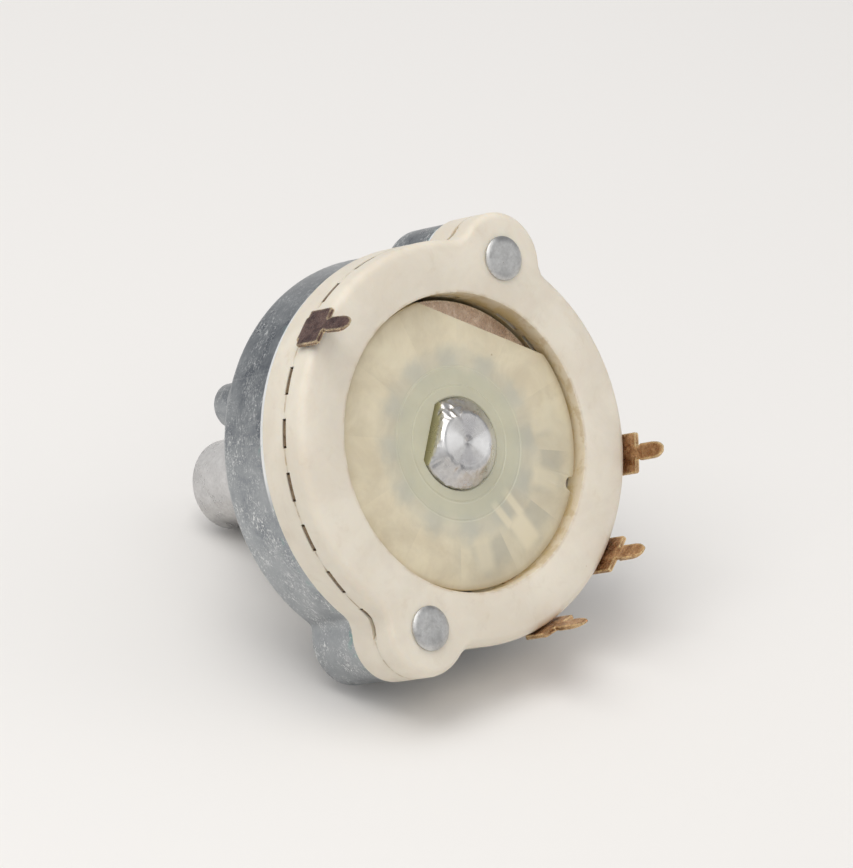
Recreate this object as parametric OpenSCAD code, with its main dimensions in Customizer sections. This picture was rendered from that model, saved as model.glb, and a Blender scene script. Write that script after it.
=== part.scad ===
// Miniature rotary wafer switch, 6 mm shaft, riveted lobed cup, two-part insulating stator.
// The origin is on the shaft's axis at the panel face. +Z points to the shaft's tip, +X to the upper rivet.

/* [Cup] */
// Radius of the cup's outside
cup_r = 13.0; // [12.6:0.1:13.2]
// Depth of the cup behind its ears' front face
cup_depth = 4.7; // [4.6:0.1:5.6]
// Sheet thickness of the cup
cup_wall = 0.8; // [0.6:0.1:0.9]
// Radius of the raised front panel
panel_r = 12.4; // [12.0:0.1:12.4]
// Height of the raised front panel above the ears
panel_rise = 0.8; // [0.6:0.1:0.8]
// Distance from the axis to the raised panel's flats
panel_flat = 11.1; // [11.0:0.05:11.1]

/* [Ears and rivets] */
// Distance from the axis to each rivet
rivet_pitch_r = 12.6; // [12.4:0.1:12.8]
// Radius of the stator's ears
ear_r = 3.1; // [3.0:0.1:3.4]
// Radius of the cup's ears
cup_ear_r = 2.95; // [2.8:0.05:3.0]
// Radius of the rivet shank
rivet_r = 1.0; // [0.8:0.05:1.1]
// Radius of the rivet's flat head
rivet_head_r = 1.45; // [1.35:0.05:1.7]
// Height of the rivet's flat head
rivet_head_h = 0.4; // [0.3:0.05:0.6]

/* [Stator] */
// Radius of the stator halves
stator_r = 13.2; // [13.2:0.1:13.4]
// Thickness of the half next to the cup
front_half_t = 2.4; // [2.2:0.1:2.8]
// Thickness of the half with the window
rear_half_t = 1.8; // [1.7:0.1:2.2]
// Radius of the window
window_r = 9.7; // [9.6:0.1:9.9]
// Number of contact positions round the stator
positions = 24; // [24:1:24]
// Width of a contact slot
slot_w = 1.9; // [1.8:0.05:2.1]
// Height of a contact slot
slot_h = 0.38; // [0.34:0.02:0.5]
// Radius that softens the stator's outer edge
stator_edge = 0.6; // [0.3:0.1:0.8]

/* [Contacts] */
// Thickness of the contact strip
strip_t = 0.3; // [0.25:0.05:0.3]
// Width of the strip inside its slot
strip_w = 1.7; // [1.5:0.1:1.8]
// Radius at which the strip's inner end stops
strip_in_r = 8.6; // [8.5:0.1:8.8]
// Width of the shoulder behind the bend
shoulder_w = 2.7; // [2.4:0.1:2.9]
// Reach of the shoulder behind the parting plane
shoulder_l = 2.55; // [2.3:0.05:2.8]
// Width of the solder pin
pin_w = 1.1; // [0.9:0.1:1.3]
// Length of the solder pin
pin_l = 2.75; // [2.2:0.05:3.0]

/* [Shaft and bushing] */
// Radius of the control shaft
shaft_r = 3.0; // [3.0:0.1:3.0]
// Height of the shaft's tip above the panel face
shaft_tip = 17.0; // [15:0.5:30]
// Distance from the axis to the flat on the shaft's tail
tail_flat = 2.1; // [1.9:0.1:2.4]
// Radius of the bushing's thread
bush_r = 5.0; // [4.5:0.25:5.0]
// Length of the bushing's thread
bush_l = 8.0; // [6:0.5:9]

/* [Rotor] */
// Radius of the rotor disc
rotor_r = 9.5; // [9.3:0.1:9.5]
// Depth of the rotor's face below the stator's rear face
rotor_recess = 0.8; // [0.7:0.05:0.8]
// Distance from the axis to the rotor's flat chord
chord_d = 7.9; // [7.6:0.1:8.3]
// Thickness of the rotor's web
rotor_web = 0.6; // [0.5:0.05:0.6]
// Thickness of the brass blade
blade_t = 0.3; // [0.2:0.05:0.4]

/* [Index] */
// Number of notches on the index wheel
notches = 12; // [12:12:12]
// Turn from the middle position to each end position
throw_deg = 30; // [30:30:30]
// Radius of the index wheel's teeth
wheel_r = 6.0; // [5.9:0.05:6.0]
// Radius of a detent ball
ball_r = 1.25; // [1.15:0.05:1.25]
// Depth of a notch
notch_depth = 0.6; // [0.5:0.05:0.6]

/* [Hidden] */
$fn = 96;

eps = 0.01;                                  // overshoot of a cut past a face
over = 1;                                    // overshoot of a hole that goes right through
far = 40;                                    // reach of a cut that clears the whole switch
play = 0.03;                                 // running clearance between turning pieces
gap = 0.05;                                  // end clearance between stacked pieces

// Planes along the axis, from front to rear
ear_z = -panel_rise;
panel_in_z = -cup_wall;
rim_z = ear_z - cup_depth;
part_z = rim_z - front_half_t;
rear_z = part_z - rear_half_t;
rotor_z = rear_z + rotor_recess;

pitch_deg = 360/positions;
ear_slots = [0, positions/2];                // positions taken by the two ears
common_deg = -5*pitch_deg;
throws_deg = [5*pitch_deg, 7*pitch_deg, 9*pitch_deg];

// Contact strip: it passes its slot at the parting plane and turns to the rear outside the stator
strip_stand = 0.1;                           // gap between the stator's side and the upright strip
strip_out_r = stator_r + strip_stand + strip_t;
strip_low_z = part_z - strip_t/2;
tip_z = part_z - shoulder_l - pin_l;
pin_root_z = part_z - shoulder_l;
pin_point = 0.7;                             // length of the pin's tapered point
point_w = 0.35;                              // width of the point's blunt end

// Rotor: the blade lies just in front of the contacts
blade_z = part_z + strip_t/2 + play;
hub_r = 5.0;
hub_front_z = rim_z + 0.5;
rib_r = 8.4;
rib_w = 1.2;
rim_notch_deg = 88;                          // small nick in the rotor's edge
nick_r = 0.5;
blade_ring_r = 6.4;
blade_r = 9.45;
blade_from = 175;                            // the blade's wide sector runs round the far side
blade_to = 395;
nose_deg = 7*pitch_deg;                      // nose that meets the middle throw
nose_w = 1.6;

// Stack on the shaft's D-shaped tail
tail_front_z = panel_in_z - 0.05;
washer_t = 0.6;
washer_r = hub_r + 0.4;
washer_z = panel_in_z - gap - washer_t;
wheel_t = 1.5;
wheel_z = washer_z - wheel_t;
wheel_mid_z = wheel_z + wheel_t/2;
tail_end_z = rear_z - 0.25;
tail_chamfer = 0.95;
tail_tip_r = 1.9;
bore_play = 0.02;                            // pieces fit the tail this much loose
flat_play = 0.25;                            // the rotor disc's hole clears the tail's flat

// Detent: balls are drawn lifted clear of the teeth, and drop by ball_drop into a notch
ball_lift = 0.04;
ball_seat_r = wheel_r - notch_depth + ball_r + ball_lift;
notch_r = ball_r + 0.02;
ball_drop = notch_depth;
ball_x = ball_seat_r + ball_drop;
balls_deg = [30, 210];
carrier_in_r = 6.9;
carrier_r = panel_r - cup_wall - gap;
carrier_bore_r = ball_r + 0.05;
carrier_front_z = panel_in_z - gap;
carrier_rear_z = wheel_mid_z - ball_r - 0.35;
spring_r = 1.05;                             // outside of the coil
spring_wire_r = 0.13;
spring_turns = 4.5;
spring_steps = 18;                           // rings of the wire in one turn
spring_sides = 8;
spring_end_x = 11.3;

// Stop: the arm swings in a cut-out of the plate, which rests on the carrier
plate_front_z = carrier_rear_z - gap;
plate_t = 0.5;
plate_in_r = 6.3;
arm_deg = 120;
arm_w = 1.8;
arm_r = 8.5;
arm_slot_w = 0.7;                            // closed slot near the arm's root
arm_slot_r = 5.0;
arm_slot_l = 1.6;
arm_t = 0.5;
arm_z = plate_front_z - arm_t;
arm_ring_r = 4.6;
sleeve_r = 4.2;                              // the index wheel's boss and the sleeve

// Clip and bushing
clip_t = 0.6;
clip_z = bush_l + 0.2;
clip_r = 4.6;
groove_r = 2.6;
clip_mouth_deg = 70;
bush_chamfer = 0.5;
bush_neck_r = bush_r + 0.3;                  // collar staked into the cup's hole
tip_chamfer = 0.5;

rivet_tail_r = 1.4;

// Peg
peg_r = 1.5;
peg_deg = -88.5;
peg_pitch_r = 10.6;
peg_tip_z = 2.2;
peg_chamfer = 0.4;
peg_neck_r = peg_r + 0.2;                    // collar staked into the cup's panel

// Disc with two ears, r at the middle and er at the ears
module lobed(r, er, z0, z1) {
    translate([0, 0, z0]) linear_extrude(z1 - z0) {
        circle(r);
        for (s = [-1, 1]) translate([s*rivet_pitch_r, 0]) circle(er);
        for (s = [-1, 1]) translate([s*rivet_pitch_r/2, 0]) square([rivet_pitch_r, 2*er], center = true);
    }
}

// Disc of radius r with a flat at each ear
module flatted(r, flat, z0, z1) {
    intersection() {
        translate([0, 0, z0]) cylinder(r = r, h = z1 - z0);
        translate([-flat, -far/2, z0]) cube([2*flat, far, z1 - z0]);
    }
}

module at_rivets() {
    for (s = [-1, 1]) translate([s*rivet_pitch_r, 0, 0]) children();
}

// Bar that follows the shaft's tail: round, with one flat towards -Y
module tail_bar(r, flat, z0, z1) {
    intersection() {
        translate([0, 0, z0]) cylinder(r = r, h = z1 - z0);
        translate([-far/2, -flat, z0]) cube([far, far, z1 - z0]);
    }
}

module tail_hole(z0, z1, extra = 0) {
    tail_bar(shaft_r + bore_play, tail_flat + bore_play + extra, z0 - eps, z1 + eps);
}

module ring(r_out, r_in, z0, z1) {
    difference() {
        translate([0, 0, z0]) cylinder(r = r_out, h = z1 - z0);
        through(r_in, z0, z1);
    }
}

// Round hole along Z, right through what lies between two planes
module through(r, z0, z1) {
    translate([0, 0, z0 - over]) cylinder(r = r, h = z1 - z0 + 2*over);
}

// Flat plate of thickness t standing on z
module plate(z, t) {
    translate([0, 0, z]) linear_extrude(t) children();
}

// Endless sector between two angles, for cutting flat outlines
module sector(a0, a1) {
    n = ceil((a1 - a0)/20);
    polygon(concat([[0, 0]],
        [for (i = [0:n]) let (a = a0 + (a1 - a0)*i/n) far*[cos(a), sin(a)]]));
}

// Bar that leaves the axis along an angle
module bar(angle, w, x0, x1) {
    rotate(angle) translate([x0, -w/2]) square([x1 - x0, w]);
}

// Outline of the hole that fits the shaft's tail
module tail_outline() {
    intersection() {
        circle(shaft_r + bore_play);
        translate([-far/2, -tail_flat - bore_play]) square([far, far]);
    }
}

module housing_cup() {
    color("lightsteelblue") difference() {
        union() {
            lobed(cup_r, cup_ear_r, rim_z, ear_z);
            flatted(panel_r, panel_flat, ear_z, 0);
        }
        lobed(cup_r - cup_wall, cup_ear_r - cup_wall, rim_z - eps, ear_z - cup_wall);
        flatted(panel_r - cup_wall, panel_flat - cup_wall, ear_z - cup_wall - eps, panel_in_z);
        through(bush_neck_r, panel_in_z, 0);
        at_rivets() through(rivet_r + gap, rim_z, ear_z);
        rotate([0, 0, peg_deg]) translate([peg_pitch_r, 0, 0]) through(peg_neck_r, panel_in_z, 0);
    }
}

module locating_peg() {
    color("lightsteelblue") rotate([0, 0, peg_deg]) translate([peg_pitch_r, 0, 0]) {
        cylinder(r = peg_r, h = peg_tip_z - peg_chamfer);
        translate([0, 0, peg_tip_z - peg_chamfer])
            cylinder(r1 = peg_r, r2 = peg_r - peg_chamfer, h = peg_chamfer);
        translate([0, 0, panel_in_z]) cylinder(r = peg_neck_r, h = cup_wall);
    }
}

module threaded_bushing() {
    color("goldenrod") difference() {
        union() {
            cylinder(r = bush_r, h = bush_l - bush_chamfer);
            translate([0, 0, bush_l - bush_chamfer])
                cylinder(r1 = bush_r, r2 = bush_r - bush_chamfer, h = bush_chamfer);
            translate([0, 0, panel_in_z]) cylinder(r = bush_neck_r, h = cup_wall);
        }
        through(shaft_r + play, panel_in_z, bush_l);
    }
}

// Slots are shared by the two halves, half their height in each
module slots() {
    for (k = [0:positions - 1]) if (len(search(k, ear_slots)) == 0)
        rotate([0, 0, k*pitch_deg])
            translate([window_r - over, -slot_w/2, part_z - slot_h/2])
                cube([stator_r - window_r + 2*over, slot_w, slot_h]);
}

module front_stator() {
    color("ivory") difference() {
        union() {
            lobed(stator_r, ear_r, part_z, rim_z);
            at_rivets() translate([0, 0, rim_z - eps])
                cylinder(r = cup_ear_r - cup_wall - 0.1, h = cup_depth - cup_wall - gap + eps);
        }
        through(window_r, part_z, rim_z);
        at_rivets() through(rivet_r + gap, part_z, ear_z);
        slots();
    }
}

// Outline of the rear half's section, with its outer rear corner rounded
module rear_section() {
    translate([window_r, rear_z]) square([stator_r - stator_edge - window_r, rear_half_t]);
    translate([window_r, rear_z + stator_edge]) square([stator_r - window_r, rear_half_t - stator_edge]);
    translate([stator_r - stator_edge, rear_z + stator_edge]) circle(stator_edge, $fn = 48);
}

module rear_ear(s) {
    translate([s*rivet_pitch_r, 0, 0]) rotate_extrude() {
        translate([0, rear_z]) square([ear_r - stator_edge, rear_half_t]);
        translate([0, rear_z + stator_edge]) square([ear_r, rear_half_t - stator_edge]);
        translate([ear_r - stator_edge, rear_z + stator_edge]) circle(stator_edge, $fn = 48);
    }
}

module rear_stator() {
    color("ivory") difference() {
        union() {
            rotate_extrude() rear_section();
            for (s = [-1, 1]) rear_ear(s);
        }
        through(window_r, rear_z, part_z);
        at_rivets() through(rivet_r + gap, rear_z, part_z);
        slots();
    }
}

// Outline of the upright part of a contact: shoulder, solder pin and point
module contact_outline() {
    polygon([[-shoulder_w/2, part_z], [-shoulder_w/2, pin_root_z], [-pin_w/2, pin_root_z],
             [-pin_w/2, tip_z + pin_point], [-point_w/2, tip_z], [point_w/2, tip_z],
             [pin_w/2, tip_z + pin_point], [pin_w/2, pin_root_z], [shoulder_w/2, pin_root_z],
             [shoulder_w/2, part_z]]);
}

module contact(angle) {
    color("darkgoldenrod") rotate([0, 0, angle]) {
        translate([strip_in_r, -strip_w/2, strip_low_z]) cube([strip_out_r - strip_in_r, strip_w, strip_t]);
        translate([strip_out_r - strip_t, 0, 0])
            rotate([90, 0, 90]) linear_extrude(strip_t) contact_outline();
        translate([strip_out_r - strip_t, -strip_w/2, part_z - eps])
            cube([strip_t, strip_w, strip_t/2 + eps]);
    }
}

module common_contact() { contact(common_deg); }
module throw_contact_1() { contact(throws_deg[0]); }
module throw_contact_2() { contact(throws_deg[1]); }
module throw_contact_3() { contact(throws_deg[2]); }

module rivet(s) {
    color("silver") translate([s*rivet_pitch_r, 0, 0]) {
        translate([0, 0, rear_z]) cylinder(r = rivet_r, h = ear_z - rear_z);
        translate([0, 0, rear_z - rivet_head_h]) cylinder(r = rivet_head_r, h = rivet_head_h);
        translate([0, 0, ear_z]) cylinder(r = rivet_tail_r, h = panel_rise/2);
    }
}

module rivet_upper() { rivet(1); }
module rivet_lower() { rivet(-1); }

module detent_carrier() {
    color("dimgray") difference() {
        flatted(carrier_r, panel_flat - cup_wall - gap, carrier_rear_z, carrier_front_z);
        through(carrier_in_r, carrier_rear_z, carrier_front_z);
        for (a = balls_deg) rotate([0, 0, a]) translate([carrier_in_r - over, 0, wheel_mid_z])
            rotate([0, 90, 0]) cylinder(r = carrier_bore_r, h = spring_end_x - carrier_in_r + over);
    }
}

// The cut-out's two ends lie along the arm's sides at the ends of its travel
module stop_plate() {
    color("slategray") plate(plate_front_z - plate_t, plate_t) difference() {
        intersection() {
            circle(carrier_r);
            square([2*(panel_flat - cup_wall - gap), far], center = true);
        }
        circle(plate_in_r);
        intersection() {
            circle(arm_r + 0.2);
            union() {
                sector(arm_deg - throw_deg, arm_deg + throw_deg);
                for (s = [-1, 1]) bar(arm_deg + s*throw_deg, arm_w + 2*play, 0, far);
            }
        }
    }
}

// One closed helix of round wire along X
module helix(x0, x1) {
    n = spring_turns*spring_steps;
    coil_r = spring_r - spring_wire_r;
    points = [for (i = [0:n]) for (j = [0:spring_sides - 1])
        let (a = 360*i/spring_steps, b = 360*j/spring_sides, r = coil_r + spring_wire_r*cos(b))
            [x0 + (x1 - x0)*i/n + spring_wire_r*sin(b), r*cos(a), r*sin(a)]];
    sides = [for (i = [0:n - 1]) for (j = [0:spring_sides - 1])
        let (k = (j + 1) % spring_sides)
            [i*spring_sides + j, i*spring_sides + k, (i + 1)*spring_sides + k, (i + 1)*spring_sides + j]];
    ends = [[for (j = [spring_sides - 1:-1:0]) j], [for (j = [0:spring_sides - 1]) n*spring_sides + j]];
    polyhedron(points, concat(sides, ends));
}

module detent_spring(angle) {
    color("silver") rotate([0, 0, angle]) translate([0, 0, wheel_mid_z])
        helix(ball_x + ball_r + gap + spring_wire_r, spring_end_x - gap - spring_wire_r);
}

module detent_spring_a() { detent_spring(balls_deg[0]); }
module detent_spring_b() { detent_spring(balls_deg[1]); }

module detent_ball(angle) {
    color("gainsboro") rotate([0, 0, angle]) translate([ball_x, 0, wheel_mid_z]) sphere(ball_r);
}

module detent_ball_a() { detent_ball(balls_deg[0]); }
module detent_ball_b() { detent_ball(balls_deg[1]); }

module shaft() {
    color("silver") difference() {
        union() {
            translate([0, 0, tail_front_z]) cylinder(r = shaft_r, h = shaft_tip - tip_chamfer - tail_front_z);
            translate([0, 0, shaft_tip - tip_chamfer])
                cylinder(r1 = shaft_r, r2 = shaft_r - tip_chamfer, h = tip_chamfer);
            tail_bar(shaft_r, tail_flat, tail_end_z + tail_chamfer, tail_front_z);
            intersection() {
                translate([0, 0, tail_end_z])
                    cylinder(r1 = tail_tip_r, r2 = shaft_r, h = tail_chamfer);
                tail_bar(shaft_r, tail_flat, tail_end_z, tail_end_z + tail_chamfer);
            }
        }
        ring(shaft_r + over, groove_r, clip_z - gap/2, clip_z + clip_t + gap/2);
    }
}

module retaining_clip() {
    color("dimgray") plate(clip_z, clip_t) difference() {
        circle(clip_r);
        circle(groove_r + bore_play);
        sector(-clip_mouth_deg/2, clip_mouth_deg/2);
    }
}

module thrust_washer() {
    color("darkgray") difference() {
        translate([0, 0, washer_z]) cylinder(r = washer_r, h = washer_t);
        tail_hole(washer_z, washer_z + washer_t);
    }
}

module index_wheel() {
    color("lightslategray") difference() {
        union() {
            translate([0, 0, wheel_z]) cylinder(r = wheel_r, h = wheel_t);
            translate([0, 0, arm_z + arm_t]) cylinder(r = sleeve_r, h = wheel_z - arm_z - arm_t);
        }
        tail_hole(arm_z + arm_t, wheel_z + wheel_t);
        for (k = [0:notches - 1]) rotate([0, 0, k*360/notches])
            translate([ball_seat_r, 0, 0]) through(notch_r, wheel_z, wheel_z + wheel_t);
    }
}

module stop_arm() {
    color("lightgray") plate(arm_z, arm_t) difference() {
        union() {
            circle(arm_ring_r);
            bar(arm_deg, arm_w, shaft_r + 1, arm_r);
        }
        tail_outline();
        bar(arm_deg, arm_slot_w, arm_slot_r, arm_slot_r + arm_slot_l);
    }
}

module spacer_sleeve() {
    color("wheat") difference() {
        translate([0, 0, hub_front_z]) cylinder(r = sleeve_r, h = arm_z - hub_front_z);
        tail_hole(hub_front_z, arm_z);
    }
}

module rotor_disc() {
    web_z = rotor_z + rotor_web;
    color("lemonchiffon") difference() {
        union() {
            translate([0, 0, rotor_z]) cylinder(r = rotor_r, h = rotor_web);
            translate([0, 0, rotor_z]) cylinder(r = hub_r, h = hub_front_z - rotor_z);
            for (k = [0:notches - 1]) rotate([0, 0, k*360/notches])
                translate([hub_r - 0.5, -rib_w/2, web_z - eps])
                    cube([rib_r - hub_r + 0.5, rib_w, blade_z - web_z + eps]);
        }
        translate([chord_d, -far/2, rotor_z - over]) cube([far, far, blade_z - rotor_z + over + eps]);
        tail_hole(rotor_z, hub_front_z, flat_play);
        rotate([0, 0, rim_notch_deg]) translate([rotor_r, 0, 0]) through(nick_r, rotor_z, web_z);
    }
}

module rotor_blade() {
    color("peru") plate(blade_z, blade_t) difference() {
        union() {
            circle(blade_ring_r);
            intersection() {
                circle(blade_r);
                sector(blade_from, blade_to);
            }
            bar(nose_deg, nose_w, hub_r + 0.5, blade_r);
        }
        circle(hub_r + bore_play);
    }
}

housing_cup();
locating_peg();
threaded_bushing();
front_stator();
rear_stator();
common_contact();
throw_contact_1();
throw_contact_2();
throw_contact_3();
rivet_upper();
rivet_lower();
detent_carrier();
stop_plate();
detent_spring_a();
detent_spring_b();
detent_ball_a();
detent_ball_b();
shaft();
retaining_clip();
thrust_washer();
index_wheel();
stop_arm();
spacer_sleeve();
rotor_disc();
rotor_blade();
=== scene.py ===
"""Looks of a miniature rotary wafer switch: cup, stator, contacts, rotor, index and shaft."""

import logging
import math
from dataclasses import dataclass, field
from enum import Enum
from typing import Callable, Sequence

import bmesh
import bpy
from mathutils import Matrix, Vector, noise


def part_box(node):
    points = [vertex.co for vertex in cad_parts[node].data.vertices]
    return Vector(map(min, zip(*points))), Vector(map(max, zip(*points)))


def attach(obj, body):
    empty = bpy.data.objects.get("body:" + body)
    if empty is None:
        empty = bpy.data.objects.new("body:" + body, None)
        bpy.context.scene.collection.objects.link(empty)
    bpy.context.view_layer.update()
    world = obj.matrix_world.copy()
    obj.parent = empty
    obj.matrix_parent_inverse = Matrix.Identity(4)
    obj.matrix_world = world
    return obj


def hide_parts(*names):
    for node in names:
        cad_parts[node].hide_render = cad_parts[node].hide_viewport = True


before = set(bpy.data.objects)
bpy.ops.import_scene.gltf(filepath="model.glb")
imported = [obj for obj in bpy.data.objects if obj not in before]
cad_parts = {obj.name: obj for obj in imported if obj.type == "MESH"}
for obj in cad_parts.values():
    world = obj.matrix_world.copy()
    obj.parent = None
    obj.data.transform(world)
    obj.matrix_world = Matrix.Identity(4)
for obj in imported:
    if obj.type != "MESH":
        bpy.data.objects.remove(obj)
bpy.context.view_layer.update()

LOG = logging.getLogger("wafer_switch")
MM = 0.001
MERGE = 0.0004  # points of one shell closer than this, in mm, are one point

Point = tuple[float, float, float]
Ring = list[Point]
Colour = tuple[float, float, float]
Socket = bpy.types.NodeSocket
Inputs = dict[str | int, object]


def smoothstep(value: float) -> float:
    """Returns value eased between 0 and 1."""
    t = min(1.0, max(0.0, value))
    return t * t * (3 - 2 * t)


def turned_point(x: float, y: float, angle: float) -> tuple[float, float]:
    """Turns a flat point about the axis.

    Args:
        x: distance along the angle.
        y: distance across it.
        angle: the turn, in radians.

    Returns:
        The turned x and y.
    """
    c, s = math.cos(angle), math.sin(angle)
    return x * c - y * s, x * s + y * c


def grain_at(point: Point, size: float, seed: float = 0.0) -> float:
    """Gives a smooth random value at a point.

    Args:
        point: the place, in mm.
        size: width of one bump, in mm.
        seed: moves the pattern.

    Returns:
        A value from about -1 to 1.
    """
    return noise.noise(Vector((point[0] / size + seed, point[1] / size - seed, point[2] / size)))


def low(node: str) -> Vector:
    """Returns a CAD node's lowest corner in mm."""
    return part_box(node)[0] / MM


def high(node: str) -> Vector:
    """Returns a CAD node's highest corner in mm."""
    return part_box(node)[1] / MM


# ------------------------------------------------------------------ outlines and solids


class Outline:
    """Closed outline round the axis, given by its radius at each angle."""

    def radius(self, angle: float) -> float:
        """Returns the radius in mm at an angle in radians."""
        raise NotImplementedError

    def ring(self, angles: Sequence[float], z: float, inset: float = 0.0) -> Ring:
        """Places the outline at one height.

        Args:
            angles: angles of the points, in radians.
            z: height in mm.
            inset: how much the radius shrinks.

        Returns:
            The points of the ring.
        """
        out = []
        for a in angles:
            r = self.radius(a) - inset
            out.append((r * math.cos(a), r * math.sin(a), z))
        return out


@dataclass(frozen=True)
class Round(Outline):
    """Circle about the axis."""

    r: float

    def radius(self, angle: float) -> float:
        """Returns the circle's radius."""
        return self.r


@dataclass(frozen=True)
class Lobed(Outline):
    """Circle with two ears on the X axis, joined by small fillets."""

    r: float
    ear_r: float
    pitch: float
    fillet: float = 0.55

    def radius(self, angle: float) -> float:
        """Works out the radius where the joined shape ends.

        Args:
            angle: the angle, in radians.

        Returns:
            The radius where the joined shape ends.
        """
        c, s = abs(math.cos(angle)), math.sin(angle)
        inner, outer = self.r - 1.0, self.pitch + self.ear_r + 1.0
        for _ in range(26):
            mid = (inner + outer) / 2
            disc = mid - self.r
            ear = math.hypot(mid * c - self.pitch, mid * s) - self.ear_r
            h = max(self.fillet - abs(disc - ear), 0.0) / self.fillet
            if min(disc, ear) - h * h * self.fillet / 4 > 0:
                outer = mid
            else:
                inner = mid
        return (inner + outer) / 2


@dataclass(frozen=True)
class Flatted(Outline):
    """Circle cut by a flat on each side of the X axis."""

    r: float
    flat: float

    def radius(self, angle: float) -> float:
        """Returns the radius, less where a flat cuts the circle."""
        c = abs(math.cos(angle))
        return min(self.r, self.flat / c) if c > 0.01 else self.r


@dataclass(frozen=True)
class Tail(Outline):
    """Circle with one flat towards -Y, as on the shaft's tail."""

    r: float
    flat: float

    def radius(self, angle: float) -> float:
        """Returns the radius, less where the flat cuts the circle."""
        s = -math.sin(angle)
        return min(self.r, self.flat / s) if s > 0.01 else self.r


@dataclass(frozen=True)
class Chorded(Outline):
    """Rotor's edge: a circle with a straight chord at +X and a small nick."""

    r: float
    chord: float
    nick_angle: float
    nick_r: float

    def radius(self, angle: float) -> float:
        """Works out the radius, less at the chord and in the nick.

        Args:
            angle: the angle, in radians.

        Returns:
            The radius, less at the chord and in the nick.
        """
        c = math.cos(angle)
        r = min(self.r, self.chord / c) if c > 0.01 else self.r
        off = abs((angle - self.nick_angle + math.pi) % (2 * math.pi) - math.pi)
        if self.nick_r > 0 and off < math.asin(self.nick_r / self.r):
            reach = self.nick_r**2 - (self.r * math.sin(off)) ** 2
            r = min(r, self.r * math.cos(off) - math.sqrt(max(reach, 0.0)))
        return r


def even_angles(count: int) -> list[float]:
    """Returns angles all the way round, in radians."""
    return [2 * math.pi * i / count for i in range(count)]


class Solid:
    """Gathers closed shells in mm and turns them into one finished piece."""

    def __init__(self, name: str) -> None:
        """Starts an empty piece.

        Args:
            name: the piece's name.
        """
        self.name = name
        self.points: list[Point] = []
        self.faces: list[tuple[int, ...]] = []

    def loft(self, rings: Sequence[Ring], loop: bool = False) -> None:
        """Adds a shell that joins rings with the same number of points.

        Args:
            rings: the rings in order.
            loop: joins the last ring to the first instead of closing both ends.
        """
        base, n, count = len(self.points), len(rings[0]), len(rings)
        for ring in rings:
            self.points += ring
        for i in range(count if loop else count - 1):
            a, b = base + i * n, base + ((i + 1) % count) * n
            self.faces += [(a + j, a + (j + 1) % n, b + (j + 1) % n, b + j) for j in range(n)]
        if not loop:
            self.faces.append(tuple(range(base + n - 1, base - 1, -1)))
            self.faces.append(tuple(range(base + (count - 1) * n, base + count * n)))

    def lathe(
        self, profile: Sequence[tuple[float, float]], at: tuple[float, float] = (0.0, 0.0),
        steps: int = 64, loop: bool = False,
    ) -> None:
        """Adds a turned shell.

        Args:
            profile: radius and height of each ring, in mm.
            at: x and y of the turning axis.
            steps: points in one ring.
            loop: closes the profile on itself, for a ring.
        """
        angles = even_angles(steps)
        rings = [
            [(at[0] + r * math.cos(a), at[1] + r * math.sin(a), z) for a in angles]
            for r, z in profile
        ]
        self.loft(rings, loop)

    def move(self, start: int, shift: Callable[[Point], Point]) -> None:
        """Moves every point added since start.

        Args:
            start: number of points there were before.
            shift: gives a point's new place.
        """
        self.points[start:] = [shift(p) for p in self.points[start:]]

    def mesh(self) -> bpy.types.Mesh:
        """Merges the shells and turns their faces outwards.

        Returns:
            The mesh, in metres.
        """
        mesh = bpy.data.meshes.new(self.name)
        mesh.from_pydata(self.points, [], self.faces)
        bm = bmesh.new()
        bm.from_mesh(mesh)
        bmesh.ops.remove_doubles(bm, verts=bm.verts, dist=MERGE)
        bmesh.ops.dissolve_degenerate(bm, edges=bm.edges, dist=MERGE)
        loose = [v for v in bm.verts if not v.link_faces]
        bmesh.ops.delete(bm, geom=loose, context="VERTS")
        bmesh.ops.recalc_face_normals(bm, faces=bm.faces)
        bmesh.ops.scale(bm, vec=(MM, MM, MM), verts=bm.verts)
        bm.to_mesh(mesh)
        bm.free()
        return mesh

    def finish(
        self, material: bpy.types.Material, body: str, slot: str, nodes: Sequence[str] = (),
        crease: float = 32.0,
    ) -> bpy.types.Object:
        """Makes the piece, sets it on its body and hides the CAD nodes it stands for.

        Args:
            material: its finish.
            body: the body it rides on.
            slot: name of a material slot; not used.
            nodes: CAD nodes it stands for.
            crease: angle in degrees above which an edge stays sharp.

        Returns:
            The new object.
        """
        return place(self.name, self.mesh(), material, body, nodes, crease)


def place(
    name: str, mesh: bpy.types.Mesh, material: bpy.types.Material, body: str,
    nodes: Sequence[str] = (), crease: float = 32.0,
) -> bpy.types.Object:
    """Links a mesh as a piece that rides on a body.

    Args:
        name: the piece's name.
        mesh: its mesh, in place and in metres.
        material: its finish.
        body: the body it rides on.
        nodes: CAD nodes it stands for.
        crease: angle in degrees above which an edge stays sharp.

    Returns:
        The new object.
    """
    mesh.materials.clear()
    mesh.materials.append(material)
    mesh.shade_smooth()
    mesh.set_sharp_from_angle(angle=math.radians(crease))
    obj = bpy.data.objects.new(name, mesh)
    bpy.context.scene.collection.objects.link(obj)
    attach(obj, body)
    if nodes:
        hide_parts(*nodes)
    LOG.info("%s: %d faces on %s, stands for %s", name, len(mesh.polygons), body, list(nodes))
    return obj


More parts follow.
